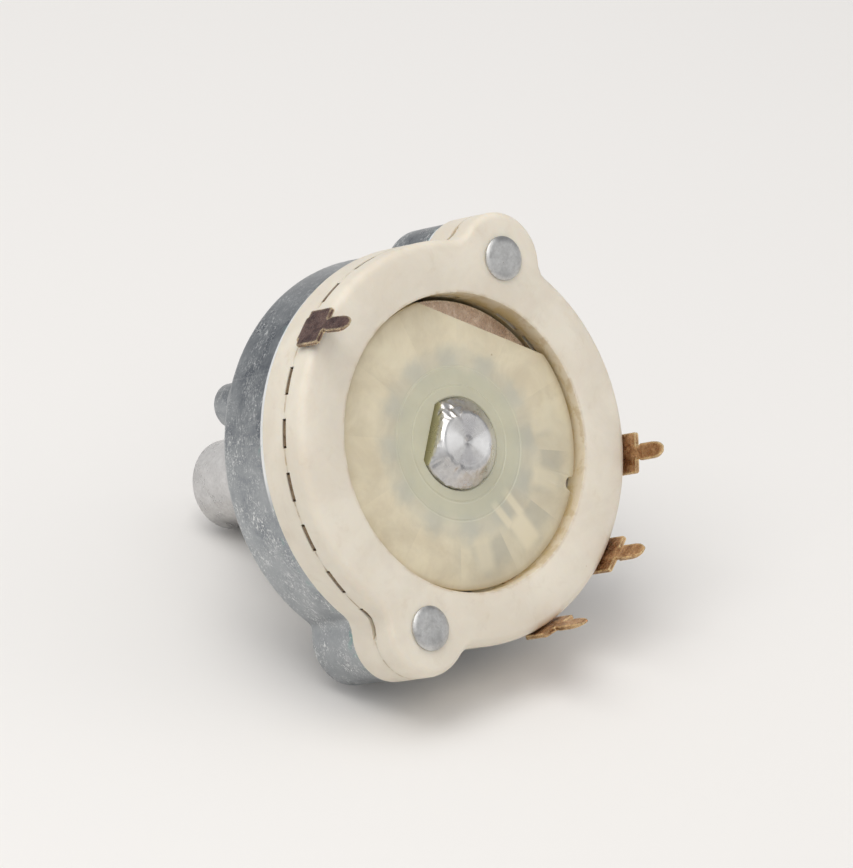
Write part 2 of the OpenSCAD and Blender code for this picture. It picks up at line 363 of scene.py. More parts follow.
def dress_node(node: str, material: bpy.types.Material, edge: float = 0.0) -> None:
    """Gives a CAD node its finish and soft edges.

    Args:
        node: the CAD node.
        material: its finish.
        edge: width of its softened edges in mm, or 0 for none.
    """
    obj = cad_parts[node]
    obj.data.materials.clear()
    obj.data.materials.append(material)
    weld = obj.modifiers.new("weld", "WELD")
    weld.merge_threshold = MERGE * MM
    if edge > 0:
        bevel = obj.modifiers.new("soft_edges", "BEVEL")
        bevel.width = edge * MM
        bevel.segments = 2
        bevel.limit_method = "ANGLE"
        bevel.angle_limit = math.radians(40)
    LOG.info("%s: kept from the frame", node)


# ------------------------------------------------------------------ node tools


class Graph:
    """Adds nodes to one tree and joins them."""

    def __init__(self, tree: bpy.types.NodeTree) -> None:
        """Keeps the tree that the nodes go into."""
        self.tree = tree

    def put(self, kind: str, inputs: Inputs | None = None, **settings: object) -> bpy.types.Node:
        """Adds a node.

        Args:
            kind: the node's type.
            inputs: a value or another node's output for each input.
            settings: the node's own settings.

        Returns:
            The new node.
        """
        made = self.tree.nodes.new(kind)
        for key, value in settings.items():
            setattr(made, key, value)
        for key, value in (inputs or {}).items():
            self.feed(made.inputs[key], value)
        return made

    def feed(self, socket: Socket, value: object) -> None:
        """Sets an input to a value, or links an output to it.

        Args:
            socket: the input.
            value: a plain value, or another node's output.
        """
        if isinstance(value, bpy.types.NodeSocket):
            self.tree.links.new(value, socket)
        elif isinstance(value, tuple) and socket.type == "RGBA" and len(value) == 3:
            socket.default_value = (*value, 1.0)
        else:
            socket.default_value = value

    def math(self, operation: str, a: object, b: object = 0.0, clamp: bool = False) -> Socket:
        """Returns the output of a Math node."""
        made = self.put("ShaderNodeMath", {0: a, 1: b}, operation=operation, use_clamp=clamp)
        return made.outputs[0]

    def span(
        self, value: object, first: object, last: object, start: object = 0.0, end: object = 1.0
    ) -> Socket:
        """Eases a value from one range into another.

        Args:
            value: the value.
            first: where the result starts to change.
            last: where it stops.
            start: result at the first value.
            end: result at the last value.

        Returns:
            The eased value.
        """
        made = self.put(
            "ShaderNodeMapRange",
            {"Value": value, "From Min": first, "From Max": last, "To Min": start, "To Max": end},
            interpolation_type="SMOOTHSTEP",
        )
        return made.outputs[0]

    def blend(self, share: object, a: object, b: object) -> Socket:
        """Returns a mix of two colours."""
        made = self.put("ShaderNodeMix", {0: share, 6: a, 7: b}, data_type="RGBA")
        return made.outputs[2]

    def noise(
        self, vector: object, scale: object, detail: float = 3.0, rough: float = 0.55,
        twist: float = 0.0,
    ) -> Socket:
        """Adds a noise texture.

        Args:
            vector: the place.
            scale: how many bumps there are to a unit.
            detail: how many finer layers it has.
            rough: strength of the finer layers.
            twist: how far it is distorted.

        Returns:
            A value from 0 to 1.
        """
        values = {"Vector": vector, "Scale": scale, "Detail": detail, "Roughness": rough,
                  "Distortion": twist}
        return self.put("ShaderNodeTexNoise", values).outputs["Fac"]

    def scaled(self, vector: object, factor: Point | float) -> Socket:
        """Stretches a vector.

        Args:
            vector: the vector.
            factor: one factor, or one for each axis.

        Returns:
            The stretched vector.
        """
        by = factor if isinstance(factor, tuple) else (factor, factor, factor)
        values = {0: vector, 1: by}
        return self.put("ShaderNodeVectorMath", values, operation="MULTIPLY").outputs[0]


class Effect:
    """Shading effect that several finishes share, kept as one node group."""

    NAME = "effect"
    INPUTS: tuple[tuple[str, str, object], ...] = ()
    OUTPUTS: tuple[tuple[str, str], ...] = (("Mask", "NodeSocketFloat"),)

    def __init__(self) -> None:
        """Builds the group."""
        self.tree = bpy.data.node_groups.new(self.NAME, "ShaderNodeTree")
        face = self.tree.interface
        face.new_socket("Vector", in_out="INPUT", socket_type="NodeSocketVector")
        for name, kind, value in self.INPUTS:
            face.new_socket(name, in_out="INPUT", socket_type=kind).default_value = value
        for name, kind in self.OUTPUTS:
            face.new_socket(name, in_out="OUTPUT", socket_type=kind)
        graph = Graph(self.tree)
        source = graph.put("NodeGroupInput").outputs
        mm = graph.scaled(source["Vector"], 1 / MM)
        result = self.draw(graph, source, mm)
        sink = graph.put("NodeGroupOutput")
        for name, value in result.items():
            graph.feed(sink.inputs[name], value)

    def draw(self, graph: Graph, source: bpy.types.NodeOutputs, mm: Socket) -> dict[str, Socket]:
        """Draws the inside of the group.

        Args:
            graph: the group's tree.
            source: the group's inputs.
            mm: the place in millimetres.

        Returns:
            A value for each output of the group.
        """
        raise NotImplementedError

    def use(self, graph: Graph, vector: Socket, **values: object) -> Socket:
        """Puts the group into a material.

        Args:
            graph: the material's tree.
            vector: the place.
            values: the group's inputs by name, with _ for a space.

        Returns:
            The group's first output.
        """
        made = graph.put("ShaderNodeGroup", node_tree=self.tree)
        graph.feed(made.inputs["Vector"], vector)
        for name, value in values.items():
            graph.feed(made.inputs[name.replace("_", " ").capitalize()], value)
        return made.outputs[0]


FLOAT = "NodeSocketFloat"


class Mottle(Effect):
    """Cloudy patches."""

    NAME = "mottle"
    INPUTS = (("Size", FLOAT, 2.0), ("Low", FLOAT, 0.35), ("High", FLOAT, 0.65))

    def draw(self, graph: Graph, source: bpy.types.NodeOutputs, mm: Socket) -> dict[str, Socket]:
        """Draws two layers of noise cut to a range.

        Args:
            graph: the tree that takes the nodes.
            source: the group's inputs.
            mm: the place in millimetres.

        Returns:
            A value for each output of the group.
        """
        scale = graph.math("DIVIDE", 1.0, source["Size"])
        value = graph.noise(mm, scale, 5.0, 0.62, 0.4)
        return {"Mask": graph.span(value, source["Low"], source["High"])}


class Scratches(Effect):
    """Short fine scores along the sheet, gathered in patches."""

    NAME = "scratches"
    INPUTS = (("Size", FLOAT, 0.3), ("Stretch", FLOAT, 3.0), ("Cover", FLOAT, 0.5))

    def draw(self, graph: Graph, source: bpy.types.NodeOutputs, mm: Socket) -> dict[str, Socket]:
        """Draws noise squeezed along Z and cut high, and fades it in patches.

        Args:
            graph: the tree that takes the nodes.
            source: the group's inputs.
            mm: the place in millimetres.

        Returns:
            A value for each output of the group.
        """
        scale = graph.math("DIVIDE", 1.0, source["Size"])
        squeeze = graph.put("ShaderNodeCombineXYZ", {0: 1.0, 1: 1.0, 2: source["Stretch"]}).outputs[0]
        flat = graph.put("ShaderNodeVectorMath", {0: mm, 1: squeeze}, operation="MULTIPLY").outputs[0]
        line = graph.span(graph.noise(flat, scale, 2.0, 0.5, 1.2), 0.57, 0.63)
        patch = graph.noise(mm, graph.math("DIVIDE", 0.16, source["Size"]), 3.0)
        edge = graph.math("SUBTRACT", 1.0, source["Cover"])
        kept = graph.span(patch, edge, graph.math("ADD", edge, 0.2), 0.1, 1.0)
        return {"Mask": graph.math("MULTIPLY", line, kept)}


class Grime(Effect):
    """Dirt that settles in corners."""

    NAME = "grime"
    INPUTS = (("Reach", FLOAT, 0.8), ("Amount", FLOAT, 1.0), ("Size", FLOAT, 0.6))

    def draw(self, graph: Graph, source: bpy.types.NodeOutputs, mm: Socket) -> dict[str, Socket]:
        """Draws how closed in a place is, broken up by noise.

        Args:
            graph: the tree that takes the nodes.
            source: the group's inputs.
            mm: the place in millimetres.

        Returns:
            A value for each output of the group.
        """
        reach = graph.math("MULTIPLY", source["Reach"], MM)
        open_sky = graph.put("ShaderNodeAmbientOcclusion", {"Distance": reach}, samples=6,
                             only_local=True).outputs["AO"]
        closed = graph.span(open_sky, 0.92, 0.35)
        speck = graph.noise(mm, graph.math("DIVIDE", 1.0, source["Size"]), 4.0, 0.7)
        broken = graph.span(speck, 0.25, 0.6, 0.35, 1.0)
        share = graph.math("MULTIPLY", closed, broken)
        return {"Mask": graph.math("MULTIPLY", share, source["Amount"], clamp=True)}


class EdgeWear(Effect):
    """Outer edges rubbed bright."""

    NAME = "edge_wear"
    INPUTS = (("Width", FLOAT, 0.15), ("Amount", FLOAT, 1.0))

    def draw(self, graph: Graph, source: bpy.types.NodeOutputs, mm: Socket) -> dict[str, Socket]:
        """Draws where the surface turns within a small width.

        Args:
            graph: the tree that takes the nodes.
            source: the group's inputs.
            mm: the place in millimetres.

        Returns:
            A value for each output of the group.
        """
        width = graph.math("MULTIPLY", source["Width"], MM)
        round_n = graph.put("ShaderNodeBevel", {"Radius": width}, samples=4).outputs[0]
        flat_n = graph.put("ShaderNodeNewGeometry").outputs["Normal"]
        dot = graph.put("ShaderNodeVectorMath", {0: round_n, 1: flat_n}, operation="DOT_PRODUCT")
        turn = graph.span(dot.outputs["Value"], 0.998, 0.93)
        rub = graph.span(graph.noise(mm, 1.6, 4.0, 0.65), 0.32, 0.6, 0.25, 1.0)
        share = graph.math("MULTIPLY", turn, rub)
        return {"Mask": graph.math("MULTIPLY", share, source["Amount"], clamp=True)}


class Turned(Effect):
    """Fine rings left by a lathe round the Z axis."""

    NAME = "turned"
    INPUTS = (("Pitch", FLOAT, 0.18), ("Drift", FLOAT, 0.08))

    def draw(self, graph: Graph, source: bpy.types.NodeOutputs, mm: Socket) -> dict[str, Socket]:
        """Draws rings by distance from the axis and by height, with a little drift.

        Args:
            graph: the tree that takes the nodes.
            source: the group's inputs.
            mm: the place in millimetres.

        Returns:
            A value for each output of the group.
        """
        axes = graph.put("ShaderNodeSeparateXYZ", {0: mm}).outputs
        flat = graph.put("ShaderNodeCombineXYZ", {0: axes[0], 1: axes[1]}).outputs[0]
        reach = graph.put("ShaderNodeVectorMath", {0: flat}, operation="LENGTH").outputs["Value"]
        run = graph.math("ADD", reach, axes[2])
        soft = graph.math("MULTIPLY", graph.noise(mm, 0.9, 2.0), source["Drift"])
        phase = graph.math("DIVIDE", graph.math("ADD", run, soft), source["Pitch"])
        wave = graph.math("SINE", graph.math("MULTIPLY", phase, 2 * math.pi))
        fine = graph.noise(graph.put("ShaderNodeCombineXYZ", {0: phase}).outputs[0], 0.7, 2.0)
        mixed = graph.math("ADD", graph.math("MULTIPLY", wave, 0.25), fine)
        return {"Mask": graph.math("MULTIPLY", mixed, 1.0, clamp=True)}


class Specks(Effect):
    """Small lone dots."""

    NAME = "specks"
    INPUTS = (("Spacing", FLOAT, 1.5), ("Size", FLOAT, 0.12), ("Share", FLOAT, 0.3))

    def draw(self, graph: Graph, source: bpy.types.NodeOutputs, mm: Socket) -> dict[str, Socket]:
        """Draws a dot in some of the cells.

        Args:
            graph: the tree that takes the nodes.
            source: the group's inputs.
            mm: the place in millimetres.

        Returns:
            A value for each output of the group.
        """
        scale = graph.math("DIVIDE", 1.0, source["Spacing"])
        cells = graph.put("ShaderNodeTexVoronoi", {"Vector": mm, "Scale": scale})
        tint = graph.put("ShaderNodeSeparateColor", {0: cells.outputs["Color"]}).outputs
        size = graph.math("MULTIPLY", source["Size"], tint[1])
        dot = graph.span(cells.outputs["Distance"], graph.math("MULTIPLY", size, 0.5), size, 1.0, 0.0)
        chosen = graph.math("LESS_THAN", tint[0], source["Share"])
        return {"Mask": graph.math("MULTIPLY", dot, chosen)}


class Polar(Effect):
    """Distance from the Z axis and angle about it."""

    NAME = "polar"
    OUTPUTS = (("Radius", FLOAT), ("Angle", FLOAT), ("Height", FLOAT))

    def draw(self, graph: Graph, source: bpy.types.NodeOutputs, mm: Socket) -> dict[str, Socket]:
        """Draws the radius and height in mm, and the angle in degrees from 0 to 360.

        Args:
            graph: the tree that takes the nodes.
            source: the group's inputs; not used.
            mm: the place in millimetres.

        Returns:
            A value for each output of the group.
        """
        axes = graph.put("ShaderNodeSeparateXYZ", {0: mm}).outputs
        flat = graph.put("ShaderNodeCombineXYZ", {0: axes[0], 1: axes[1]}).outputs[0]
        reach = graph.put("ShaderNodeVectorMath", {0: flat}, operation="LENGTH").outputs["Value"]
        turn = graph.math("DEGREES", graph.math("ARCTAN2", axes[1], axes[0]))
        whole = graph.math("FLOORED_MODULO", turn, 360.0)
        return {"Radius": reach, "Angle": whole, "Height": axes[2]}


@dataclass
class Effects:
    """The shared effects, each built once."""

    mottle: Mottle = field(default_factory=Mottle)
    scratches: Scratches = field(default_factory=Scratches)
    grime: Grime = field(default_factory=Grime)
    wear: EdgeWear = field(default_factory=EdgeWear)
    turned: Turned = field(default_factory=Turned)
    specks: Specks = field(default_factory=Specks)
    polar: Polar = field(default_factory=Polar)


FX = Effects()


# ------------------------------------------------------------------ finishes


@dataclass(frozen=True)
class Finish:
    """A surface finish that can build its own material."""

    name: str

    def build(self) -> bpy.types.Material:
        """Makes the material.

        Returns:
            The material.
        """
        material = bpy.data.materials.new(self.name)
        material.use_nodes = True
        graph = Graph(material.node_tree)
        shader = material.node_tree.nodes["Principled BSDF"]
        place_in = graph.put("ShaderNodeTexCoord").outputs["Object"]
        self.paint(graph, shader, place_in)
        return material

    def paint(self, graph: Graph, shader: bpy.types.Node, at: Socket) -> None:
        """Feeds the shader.

        Args:
            graph: the material's tree.
            shader: its Principled shader.
            at: the place on the object.
        """
        raise NotImplementedError

    @staticmethod
    def bump(graph: Graph, shader: bpy.types.Node, height: Socket, depth: float) -> None:
        """Feeds a height in mm of depth into the shader's normal."""
        made = graph.put("ShaderNodeBump", {"Strength": 1.0, "Distance": depth * MM, "Height": height})
        graph.feed(shader.inputs["Normal"], made.outputs[0])

    @staticmethod
    def set(graph: Graph, shader: bpy.types.Node, **values: object) -> None:
        """Sets the shader's inputs by name, with _ for a space."""
        for name, value in values.items():
            graph.feed(shader.inputs[name.replace("_", " ")], value)


@dataclass(frozen=True)
class ZincPlate(Finish):
    """Dull zinc plating with fine cracks, worn edges and a little green bloom near the rim."""

    dark: Colour = (0.20, 0.22, 0.245)
    light: Colour = (0.42, 0.44, 0.455)
    # white of the scores and worn edges, also of the painted highlight along the rim
    score: Colour = (0.92, 0.93, 0.92)
    dirt: Colour = (0.10, 0.09, 0.075)
    bloom: Colour = (0.08, 0.33, 0.27)
    rim_z: float = -5.5
    mark_turn: float = 274.0

    def paint(self, graph: Graph, shader: bpy.types.Node, at: Socket) -> None:
        """Paints clouds, scores, dirt, bloom, one tool mark across the wall, painted light on the lower side
        and a painted highlight along the rim.

        Args:
            graph: the tree that takes the nodes.
            shader: the material's Principled shader.
            at: the place on the object.
        """
        cloud = FX.mottle.use(graph, at, size=2.6, low=0.3, high=0.7)
        fine = FX.mottle.use(graph, at, size=0.3, low=0.35, high=0.7)
        score = FX.scratches.use(graph, at, size=0.34, stretch=2.6, cover=0.55)
        hair = FX.scratches.use(graph, at, size=0.17, stretch=1.4, cover=0.62)
        dirt = FX.grime.use(graph, at, reach=0.7, amount=0.8, size=0.5)
        wear = FX.wear.use(graph, at, width=0.22, amount=0.9)
        polar = graph.put("ShaderNodeGroup", {"Vector": at}, node_tree=FX.polar.tree).outputs
        near_rim = graph.span(polar["Height"], self.rim_z, self.rim_z + 1.1, 1.0, 0.0)
        spot = FX.mottle.use(graph, at, size=1.1, low=0.57, high=0.68)
        bloom = graph.math("MULTIPLY", near_rim, spot)
        mark = graph.math("ABSOLUTE", graph.math("SUBTRACT", polar["Angle"], self.mark_turn))
        mark = graph.span(mark, 0.1, 0.35, 0.14, 0.0)
        # Painted highlight: a white band just above the rim, fading in from 230° and full from 246° round to
        # 360°.
        rim_highlight = graph.span(polar["Height"], self.rim_z + 0.38, self.rim_z + 0.48, 0.95, 0.0)
        rim_highlight = graph.math("MULTIPLY", rim_highlight, graph.span(polar["Angle"], 230.0, 246.0))
        # Painted light, not wear: the wall is painted lighter up to 190°, near the bottom, fading out by the
        # tool mark's angle.
        rubbed = graph.span(polar["Angle"], 190.0, self.mark_turn, 1.0, 0.0)
        colour = graph.blend(cloud, self.dark, self.light)
        colour = graph.blend(graph.math("MULTIPLY", rubbed, 0.45), colour, self.light)
        colour = graph.blend(graph.math("MULTIPLY", fine, 0.2), colour, self.light)
        colour = graph.blend(graph.math("MULTIPLY", hair, 0.45), colour, self.score)
        colour = graph.blend(graph.math("MULTIPLY", score, 0.85), colour, self.score)
        colour = graph.blend(graph.math("MAXIMUM", wear, mark), colour, self.score)
        colour = graph.blend(dirt, colour, self.dirt)
        colour = graph.blend(rim_highlight, colour, self.score)
        colour = graph.blend(graph.math("MULTIPLY", bloom, 0.55), colour, self.bloom)
        worn = graph.math("MULTIPLY", score, 0.15)
        rough = graph.math("ADD", graph.span(cloud, 0.0, 1.0, 0.27, 0.40), worn)
        dull = graph.math("MAXIMUM", graph.math("MAXIMUM", dirt, bloom), rim_highlight)
        metal = graph.span(dull, 0.0, 1.0, 1.0, 0.3)
        height = graph.math("SUBTRACT", graph.math("MULTIPLY", fine, 0.5), score)
        self.set(graph, shader, Base_Color=colour, Roughness=rough, Metallic=metal)
        self.bump(graph, shader, height, 0.012)


@dataclass(frozen=True)
class CreamInsulator(Finish):
    """Aged cream moulding with brown dirt at the joint and round the window, and painted shade in its slots.
    """

    body: Colour = (0.735, 0.665, 0.55)
    pale: Colour = (0.805, 0.745, 0.63)
    stain: Colour = (0.36, 0.22, 0.075)
    olive: Colour = (0.56, 0.43, 0.20)
    # near-black brown of the painted shade in the slots
    dark: Colour = (0.085, 0.04, 0.016)
    part_z: float = -7.9
    window_r: float = 9.7
    outer_r: float = 13.2

    def paint(self, graph: Graph, shader: bpy.types.Node, at: Socket) -> None:
        """Paints clouds, specks, the dirt and painted shade in the slots.

        Args:
            graph: the tree that takes the nodes.
            shader: the material's Principled shader.
            at: the place on the object.
        """
        polar = graph.put("ShaderNodeGroup", {"Vector": at}, node_tree=FX.polar.tree).outputs
        r, z = polar["Radius"], polar["Height"]
        cloud = FX.mottle.use(graph, at, size=4.0, low=0.3, high=0.7)
        smudge = FX.mottle.use(graph, at, size=1.3, low=0.55, high=0.75)
        break_up = FX.mottle.use(graph, at, size=1.1, low=0.4, high=0.62)
        dots = FX.specks.use(graph, at, spacing=1.7, size=0.11, share=0.28)
        dirt = FX.grime.use(graph, at, reach=0.35, amount=1.0, size=0.5)
        off = graph.math("ABSOLUTE", graph.math("SUBTRACT", z, self.part_z))
        joint = graph.math("MULTIPLY", graph.span(off, 0.03, 0.13, 1.0, 0.0), break_up)
        # Painted shade: the walls inside each slot, between the window and the outer edge, are painted
        # near-black.
        outside = graph.span(r, self.outer_r - 0.12, self.outer_r - 0.02)
        inside = graph.span(r, self.window_r + 0.5, self.window_r + 0.9)
        within = graph.math("MULTIPLY", graph.math("SUBTRACT", 1.0, outside), inside)
        slot = graph.math("MULTIPLY", graph.span(off, 0.2, 0.25, 1.0, 0.0), within)
        halo = graph.math("MULTIPLY", graph.span(off, 0.1, 0.5, 1.0, 0.0),
                          graph.span(smudge, 0.0, 1.0, 0.25, 1.0))
        wall = graph.span(r, self.window_r + 0.01, self.window_r + 0.06, 1.0, 0.0)
        aged = graph.span(break_up, 0.0, 1.0, 0.6, 0.9)
        aged = graph.math("MULTIPLY", aged, graph.span(z, self.part_z - 1.9, self.part_z - 0.5, 0.25, 1.0))
        lip = graph.span(r, self.window_r + 0.02, self.window_r + 0.28, 1.0, 0.0)
        lip = graph.math("MULTIPLY", lip, graph.span(break_up, 0.0, 1.0, 0.25, 0.85))
        colour = graph.blend(cloud, self.body, self.pale)
        colour = graph.blend(graph.math("MULTIPLY", smudge, 0.10), colour, self.stain)
        colour = graph.blend(graph.math("MULTIPLY", dots, 0.55), colour, self.stain)
        colour = graph.blend(graph.math("MULTIPLY", lip, 0.5), colour, self.stain)
        colour = graph.blend(graph.math("MULTIPLY", wall, aged), colour, self.olive)
        colour = graph.blend(graph.math("MULTIPLY", halo, 0.16), colour, self.stain)
        colour = graph.blend(graph.math("MULTIPLY", dirt, 0.5), colour, self.stain)
        colour = graph.blend(graph.math("MULTIPLY", joint, 0.55), colour, self.stain)
        colour = graph.blend(graph.math("MULTIPLY", slot, 0.93), colour, self.dark)
        rough = graph.span(cloud, 0.0, 1.0, 0.42, 0.56)
        height = graph.math("ADD", graph.noise(graph.scaled(at, 1 / MM), 2.2, 4.0), dots)
        self.set(graph, shader, Base_Color=colour, Roughness=rough, Specular_IOR_Level=0.42)
        self.set(graph, shader, Subsurface_Weight=0.25, Subsurface_Radius=(1.0, 0.7, 0.4),
                 Subsurface_Scale=0.0006)
        self.bump(graph, shader, height, 0.02)


@dataclass(frozen=True)
class NaturalNylon(Finish):
    """Milky natural nylon with thick hub, thin web and shadows of what lies behind it."""

    web: Colour = (0.66, 0.575, 0.41)
    pale: Colour = (0.81, 0.73, 0.54)
    hub: Colour = (0.55, 0.55, 0.42)
    cool: Colour = (0.40, 0.43, 0.40)
    shade: Colour = (0.43, 0.42, 0.35)
    dirt: Colour = (0.30, 0.19, 0.06)
    # pale colour of the painted highlight lines on the two fine raised rings
    line: Colour = (0.78, 0.76, 0.62)
    rim_r: float = 9.5
    hub_r: float = 5.0
    cover: float = 0.93
    bars: int = 12
    fork_turn: float = 121.0

    def paint(self, graph: Graph, shader: bpy.types.Node, at: Socket) -> None:
        """Paints the hub, the segmented ring round it, the web's bars and pockets, and painted highlights on
        two fine rings.

        Args:
            graph: the tree that takes the nodes.
            shader: the material's Principled shader.
            at: the place on the object.
        """
        polar = graph.put("ShaderNodeGroup", {"Vector": at}, node_tree=FX.polar.tree).outputs
        r, turn = polar["Radius"], polar["Angle"]
        mm = graph.scaled(at, 1 / MM)
        cloud = FX.mottle.use(graph, at, size=3.0, low=0.3, high=0.7)
        blur = graph.math("MULTIPLY", graph.math("SUBTRACT", graph.noise(mm, 1.1), 0.5), 1.3)
        soft_r = graph.math("ADD", r, blur)
        step = 360.0 / self.bars
        part = graph.math("FLOORED_MODULO", graph.math("ADD", turn, step / 2), step)
        side = graph.math("ABSOLUTE", graph.math("SUBTRACT", part, step / 2))
        across = graph.math("MULTIPLY", graph.math("RADIANS", side), r)
        fan = graph.span(part, step / 2, step, 0.0, 1.0)
        bar = graph.span(across, 0.3, 1.05, 1.0, 0.0)
        bar = graph.math("MULTIPLY", bar, graph.span(r, self.rim_r - 1.5, self.rim_r - 0.6, 1.0, 0.0))
        bar = graph.math("MULTIPLY", bar, graph.span(r, 5.9, 6.6))
        aside = graph.math("ABSOLUTE", graph.math("SUBTRACT", turn, self.fork_turn))
        aside = graph.math("MULTIPLY", graph.math("RADIANS", aside), r)
        prong = graph.span(graph.math("ABSOLUTE", graph.math("SUBTRACT", aside, 0.62)), 0.14, 0.42, 1.0, 0.0)
        prong = graph.math("MULTIPLY", prong, graph.span(r, 4.3, 4.7))
        prong = graph.math("MULTIPLY", prong, graph.span(r, 6.4, 6.9, 1.0, 0.0))
        block = graph.math("MULTIPLY", graph.span(aside, 0.5, 0.95, 1.0, 0.0), graph.span(r, 6.3, 6.7))
        block = graph.math("MULTIPLY", block, graph.span(r, 8.3, 8.8, 1.0, 0.0))
        fork = graph.math("MAXIMUM", prong, block)
        away = graph.math("ABSOLUTE", graph.math("SUBTRACT", turn, 112.0))
        right = graph.span(away, 40.0, 62.0, 1.0, 0.12)
        outer = graph.span(soft_r, 7.9, 9.1, 1.0, 0.0)
        pocket = graph.math("MULTIPLY", graph.span(soft_r, 6.3, 6.9), outer)
        corner = graph.math("ADD", part, graph.math("MULTIPLY", soft_r, 3.0))
        corner = graph.span(corner, 41.0, 46.0, 1.0, 0.1)
        pocket = graph.math("MULTIPLY", graph.math("MULTIPLY", pocket, right), corner)
        ring = graph.math("MULTIPLY", graph.span(soft_r, 4.0, 5.2), graph.span(soft_r, 5.6, 7.0, 1.0, 0.0))
        beat = graph.math("SINE", graph.math("RADIANS", graph.math("MULTIPLY", turn, 12.0)))
        ring = graph.math("MULTIPLY", ring, graph.span(beat, -1.0, 1.0, 0.55, 1.0))
        hub = graph.span(soft_r, self.hub_r - 0.5, self.hub_r + 0.5, 1.0, 0.0)
        edge = graph.span(r, self.rim_r - 0.45, self.rim_r, 0.0, 1.0)
        # Painted highlights: thin light lines on the fine raised rings, at 3.86 mm and 5.05 mm.
        hub_highlight_a = graph.span(graph.math("ABSOLUTE", graph.math("SUBTRACT", r, 3.86)), 0.02, 0.07, 1.0, 0.0)
        hub_highlight_b = graph.span(graph.math("ABSOLUTE", graph.math("SUBTRACT", r, 5.05)), 0.02, 0.07, 1.0, 0.0)
        colour = graph.blend(cloud, self.web, self.pale)
        colour = graph.blend(graph.math("MULTIPLY", fan, 0.28), colour, self.pale)
        colour = graph.blend(graph.math("MULTIPLY", right, 0.22), colour, self.shade)
        colour = graph.blend(graph.math("MULTIPLY", ring, 0.5), colour, self.cool)
        colour = graph.blend(graph.math("MULTIPLY", pocket, 0.5), colour, self.shade)
        bar = graph.math("MULTIPLY", bar, graph.span(right, 0.1, 0.9, 0.08, 0.6))
        colour = graph.blend(bar, colour, self.pale)
        colour = graph.blend(graph.math("MULTIPLY", fork, 0.75), colour, self.pale)
        colour = graph.blend(graph.math("MULTIPLY", hub, 0.7), colour, self.hub)
        # the painted highlight lines, laid on at 30%
        lines = graph.math("MULTIPLY", graph.math("MAXIMUM", hub_highlight_a, hub_highlight_b), 0.3)
        colour = graph.blend(lines, colour, self.line)
        specks = FX.specks.use(graph, at, spacing=1.6, size=0.09, share=0.2)
        grime = FX.grime.use(graph, at, reach=0.3, amount=0.6, size=0.4)
        dirt = graph.math("MAXIMUM", graph.math("MULTIPLY", edge, 0.3), graph.math("MULTIPLY", specks, 0.5))
        dirt = graph.math("MAXIMUM", dirt, graph.math("MULTIPLY", grime, 0.4))
        colour = graph.blend(dirt, colour, self.dirt)
        self.set(graph, shader, Base_Color=colour, Roughness=0.36, Specular_IOR_Level=0.45)
        self.set(graph, shader, Alpha=self.cover, Subsurface_Weight=0.3, Subsurface_Scale=0.0008,
                 Subsurface_Radius=(1.0, 0.8, 0.5))
        self.bump(graph, shader, graph.noise(mm, 1.4, 4.0), 0.015)


class Tarnish(Enum):
    """How far a brass part has tarnished, and one pale tone of painted light."""

    BRIGHT = "bright"
    DARK = "dark"
    # painted light: brass painted far paler, as if lit where it lies in shade
    PAINTED_LIGHT = "painted_light"
    BROWN = "brown"


@dataclass(frozen=True)
class TarnishedBrass(Finish):
    """Spring brass, from copper-tan to purple-brown, with rubbed golden edges."""

    tarnish: Tarnish = Tarnish.BRIGHT
    pit: Colour = (0.06, 0.03, 0.015)

    def tones(self) -> tuple[Colour, Colour, Colour]:
        """Works out the base, patch and edge colours.

        Returns:
            The base, patch and edge colours.
        """
        return {
            Tarnish.BRIGHT: ((0.30, 0.145, 0.065), (0.62, 0.38, 0.20), (1.0, 0.80, 0.46)),
            Tarnish.DARK: ((0.10, 0.052, 0.05), (0.21, 0.125, 0.105), (0.86, 0.70, 0.44)),
            Tarnish.BROWN: ((0.085, 0.048, 0.024), (0.19, 0.125, 0.065), (0.30, 0.21, 0.11)),
            # pale tones of painted light, not dust
            Tarnish.PAINTED_LIGHT: ((0.54, 0.385, 0.28), (0.74, 0.575, 0.44), (0.90, 0.78, 0.58)),
        }[self.tarnish]

    def paint(self, graph: Graph, shader: bpy.types.Node, at: Socket) -> None:
        """Paints patches, pits and rubbed edges.

        Args:
            graph: the tree that takes the nodes.
            shader: the material's Principled shader.
            at: the place on the object.
        """
        base, patch, edge = self.tones()
        cloud = FX.mottle.use(graph, at, size=0.8, low=0.38, high=0.64)
        fine = FX.mottle.use(graph, at, size=0.2, low=0.35, high=0.7)
        wear = FX.wear.use(graph, at, width=0.2, amount=1.0)
        pits = FX.specks.use(graph, at, spacing=0.5, size=0.14, share=0.35)
        hair = FX.scratches.use(graph, at, size=0.14, stretch=0.5, cover=0.5)
        colour = graph.blend(cloud, base, patch)
        colour = graph.blend(graph.math("MULTIPLY", fine, 0.3), colour, patch)
        colour = graph.blend(graph.math("MULTIPLY", hair, 0.3), colour, edge)
        colour = graph.blend(graph.math("MULTIPLY", pits, 0.6), colour, self.pit)
        colour = graph.blend(wear, colour, edge)
        rough = graph.span(fine, 0.0, 1.0, 0.24, 0.46)
        height = graph.math("SUBTRACT", fine, pits)
        shine = {Tarnish.BROWN: 0.25, Tarnish.PAINTED_LIGHT: 0.45}.get(self.tarnish, 0.9)
        metal = graph.span(cloud, 0.0, 1.0, shine + 0.05, shine - 0.15)
        self.set(graph, shader, Base_Color=colour, Roughness=rough, Metallic=metal)
        self.bump(graph, shader, height, 0.012)


